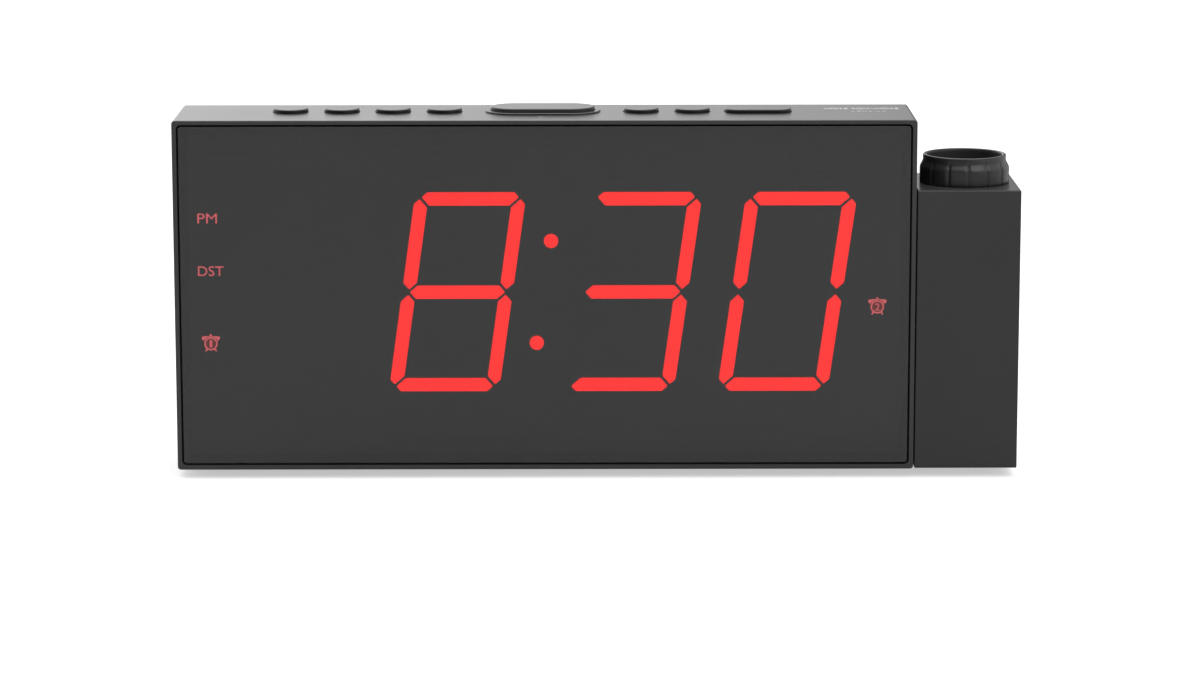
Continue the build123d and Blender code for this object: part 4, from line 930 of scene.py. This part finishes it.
# spring contacts under the outlet's tongue
contactLook = {"count": 4, "pitch": 2.35 * mm, "width": 1.0 * mm, "length": 6.0 * mm, "inset": 0.8 * mm,
               "thickness": 0.08 * mm}


def addOutletContacts(look):
    low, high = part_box("usb_tongue")
    start = high.y - look["inset"]
    bm = bmesh.new()
    for index in range(look["count"]):
        x = (low.x + high.x) / 2 + (index - (look["count"] - 1) / 2) * look["pitch"]
        drawBar(bm, (x, start), (x, start - look["length"]), look["width"])
    inlay(bm, Matrix.Translation((0, 0, low.z - look["thickness"])), look["thickness"])
    addPiece("outletContacts", bm, "case", "nickel")


addOutletContacts(contactLook)
print("back details made")


# room, camera and lamps
cameraLook = {
    "place": (-4.54 * mm, -982.45 * mm, 212.35 * mm),
    "down": 10.532, "right": 0.2365, "roll": -0.044, "lens": 123.7, "sensor": 36.0, "farthest": 20,
}


def addCamera(look):
    data = bpy.data.cameras.new("camera")
    data.lens = look["lens"]
    data.sensor_width = look["sensor"]
    data.sensor_fit = "HORIZONTAL"
    data.clip_end = look["farthest"]
    camera = bpy.data.objects.new("camera", data)
    bpy.context.scene.collection.objects.link(camera)
    tilt = Matrix.Rotation(math.radians(90 - look["down"]), 4, "X")
    swing = Matrix.Rotation(math.radians(-look["right"]), 4, "Z")
    roll = Matrix.Rotation(math.radians(look["roll"]), 4, "Z")
    camera.matrix_world = Matrix.Translation(look["place"]) @ swing @ tilt @ roll
    bpy.context.scene.camera = camera


addCamera(cameraLook)

lampLooks = {
    "keyLamp": {"place": (0.8, -1.3, 1.2), "target": (0, 0, 0.04), "size": (1.4, 1.0), "power": 9},
    "topLamp": {"place": (0, 0.1, 1.3), "target": (0, 0, 0.05), "size": (1.2, 0.7), "power": 6},
}


def addLamp(name, look):
    data = bpy.data.lights.new(name, "AREA")
    data.shape = "RECTANGLE"
    data.size, data.size_y = look["size"]
    data.energy = look["power"]
    lamp = bpy.data.objects.new(name, data)
    bpy.context.scene.collection.objects.link(lamp)
    lamp.location = look["place"]
    lamp.rotation_mode = "QUATERNION"
    lamp.rotation_quaternion = (Vector(look["target"]) - Vector(look["place"])).to_track_quat("-Z", "Y")


for name, look in lampLooks.items():
    addLamp(name, look)

# levels of the light that reflections see, and where along X, Y or Z of their direction they change
roomLook = {
    "ambient": 0.7, "left": 2.02, "middle": 1.14, "right": 0.37, "front": 0.3, "side": 0.85, "up": 2.1,
    "leftToMiddle": (-0.16, 0.08), "middleToRight": (0.08, 0.11), "frontToBack": (-0.4, 0.3),
    "rightToSide": (0.3, 0.8), "levelToUp": (0.6, 0.85),
}


def addRoom(look):
    # white to the camera; reflections see a bright left, a dim right and front, and more light
    # far round to the right and overhead
    world = bpy.data.worlds.new("room")
    world.use_nodes = True
    bpy.context.scene.world = world
    room = Finish("room", world.node_tree)
    path = room.node("LightPath")
    seen = path["Is Camera Ray"]
    mirrored = path["Is Glossy Ray"].largest(path["Is Transmission Ray"])
    direction = room.node("SeparateXYZ", {}, {0: room.node("TexCoord")["Generated"]})

    def ramp(axis, span, first, last):
        sockets = {"Value": direction[axis], "From Min": span[0], "From Max": span[1],
                   "To Min": first, "To Max": last}
        return room.node("MapRange", {}, sockets)["Result"]

    across = ramp("X", look["leftToMiddle"], look["left"], look["middle"])
    beyond = ramp("X", look["middleToRight"], 0.0, look["middle"] - look["right"])
    behind = ramp("Y", look["frontToBack"], 0.0, 1.0)
    side = ramp("X", look["rightToSide"], 0.0, look["side"])
    up = ramp("Z", look["levelToUp"], 0.0, look["up"])
    shine = look["front"] + (across - beyond - look["front"]) * behind + side + up
    strength = seen.largest(mirrored * shine).largest((1 - seen) * (1 - mirrored) * look["ambient"])
    made = room.node("Background", {}, {"Color": grey(1.0), "Strength": strength})
    room.tree.links.new(made["Background"].socket, room.tree.nodes["World Output"].inputs["Surface"])


addRoom(roomLook)

floorLook = {"colour": 0.8, "roughness": 0.9, "lift": 0.5, "mirrored": 0.1, "half": 3.0}


def addFloor(look):
    # the lift is only what the camera and mirrors see; the rest of the light finds a plain floor
    bm = bmesh.new()
    bmesh.ops.create_grid(bm, x_segments=1, y_segments=1, size=look["half"])
    mesh = bpy.data.meshes.new("floor")
    bm.to_mesh(mesh)
    bm.free()
    floor = bpy.data.objects.new("floor", mesh)
    bpy.context.scene.collection.objects.link(floor)
    finish = Finish("floor_finish")
    finish.set(colour=grey(look["colour"]), roughness=look["roughness"], specular=0.0)
    lifted = finish.node("BsdfPrincipled", {}, {
        "Base Color": grey(look["colour"]), "Roughness": look["roughness"], "Specular IOR Level": 0.0,
        "Emission Color": grey(1.0), "Emission Strength": look["lift"]})["BSDF"]
    path = finish.node("LightPath")
    mirrored = path["Is Glossy Ray"].largest(path["Is Transmission Ray"])
    shown = path["Is Camera Ray"].largest(mirrored * look["mirrored"])
    plain = Signal(finish, finish.shader.outputs["BSDF"])
    mixed = finish.node("MixShader", {}, {0: shown, 1: plain, 2: lifted})["Shader"]
    finish.tree.links.new(mixed.socket, finish.tree.nodes["Material Output"].inputs["Surface"])
    mesh.materials.append(finish.material)


addFloor(floorLook)
bpy.context.scene.view_settings.view_transform = "Standard"
print("camera, lamps, room and floor made")
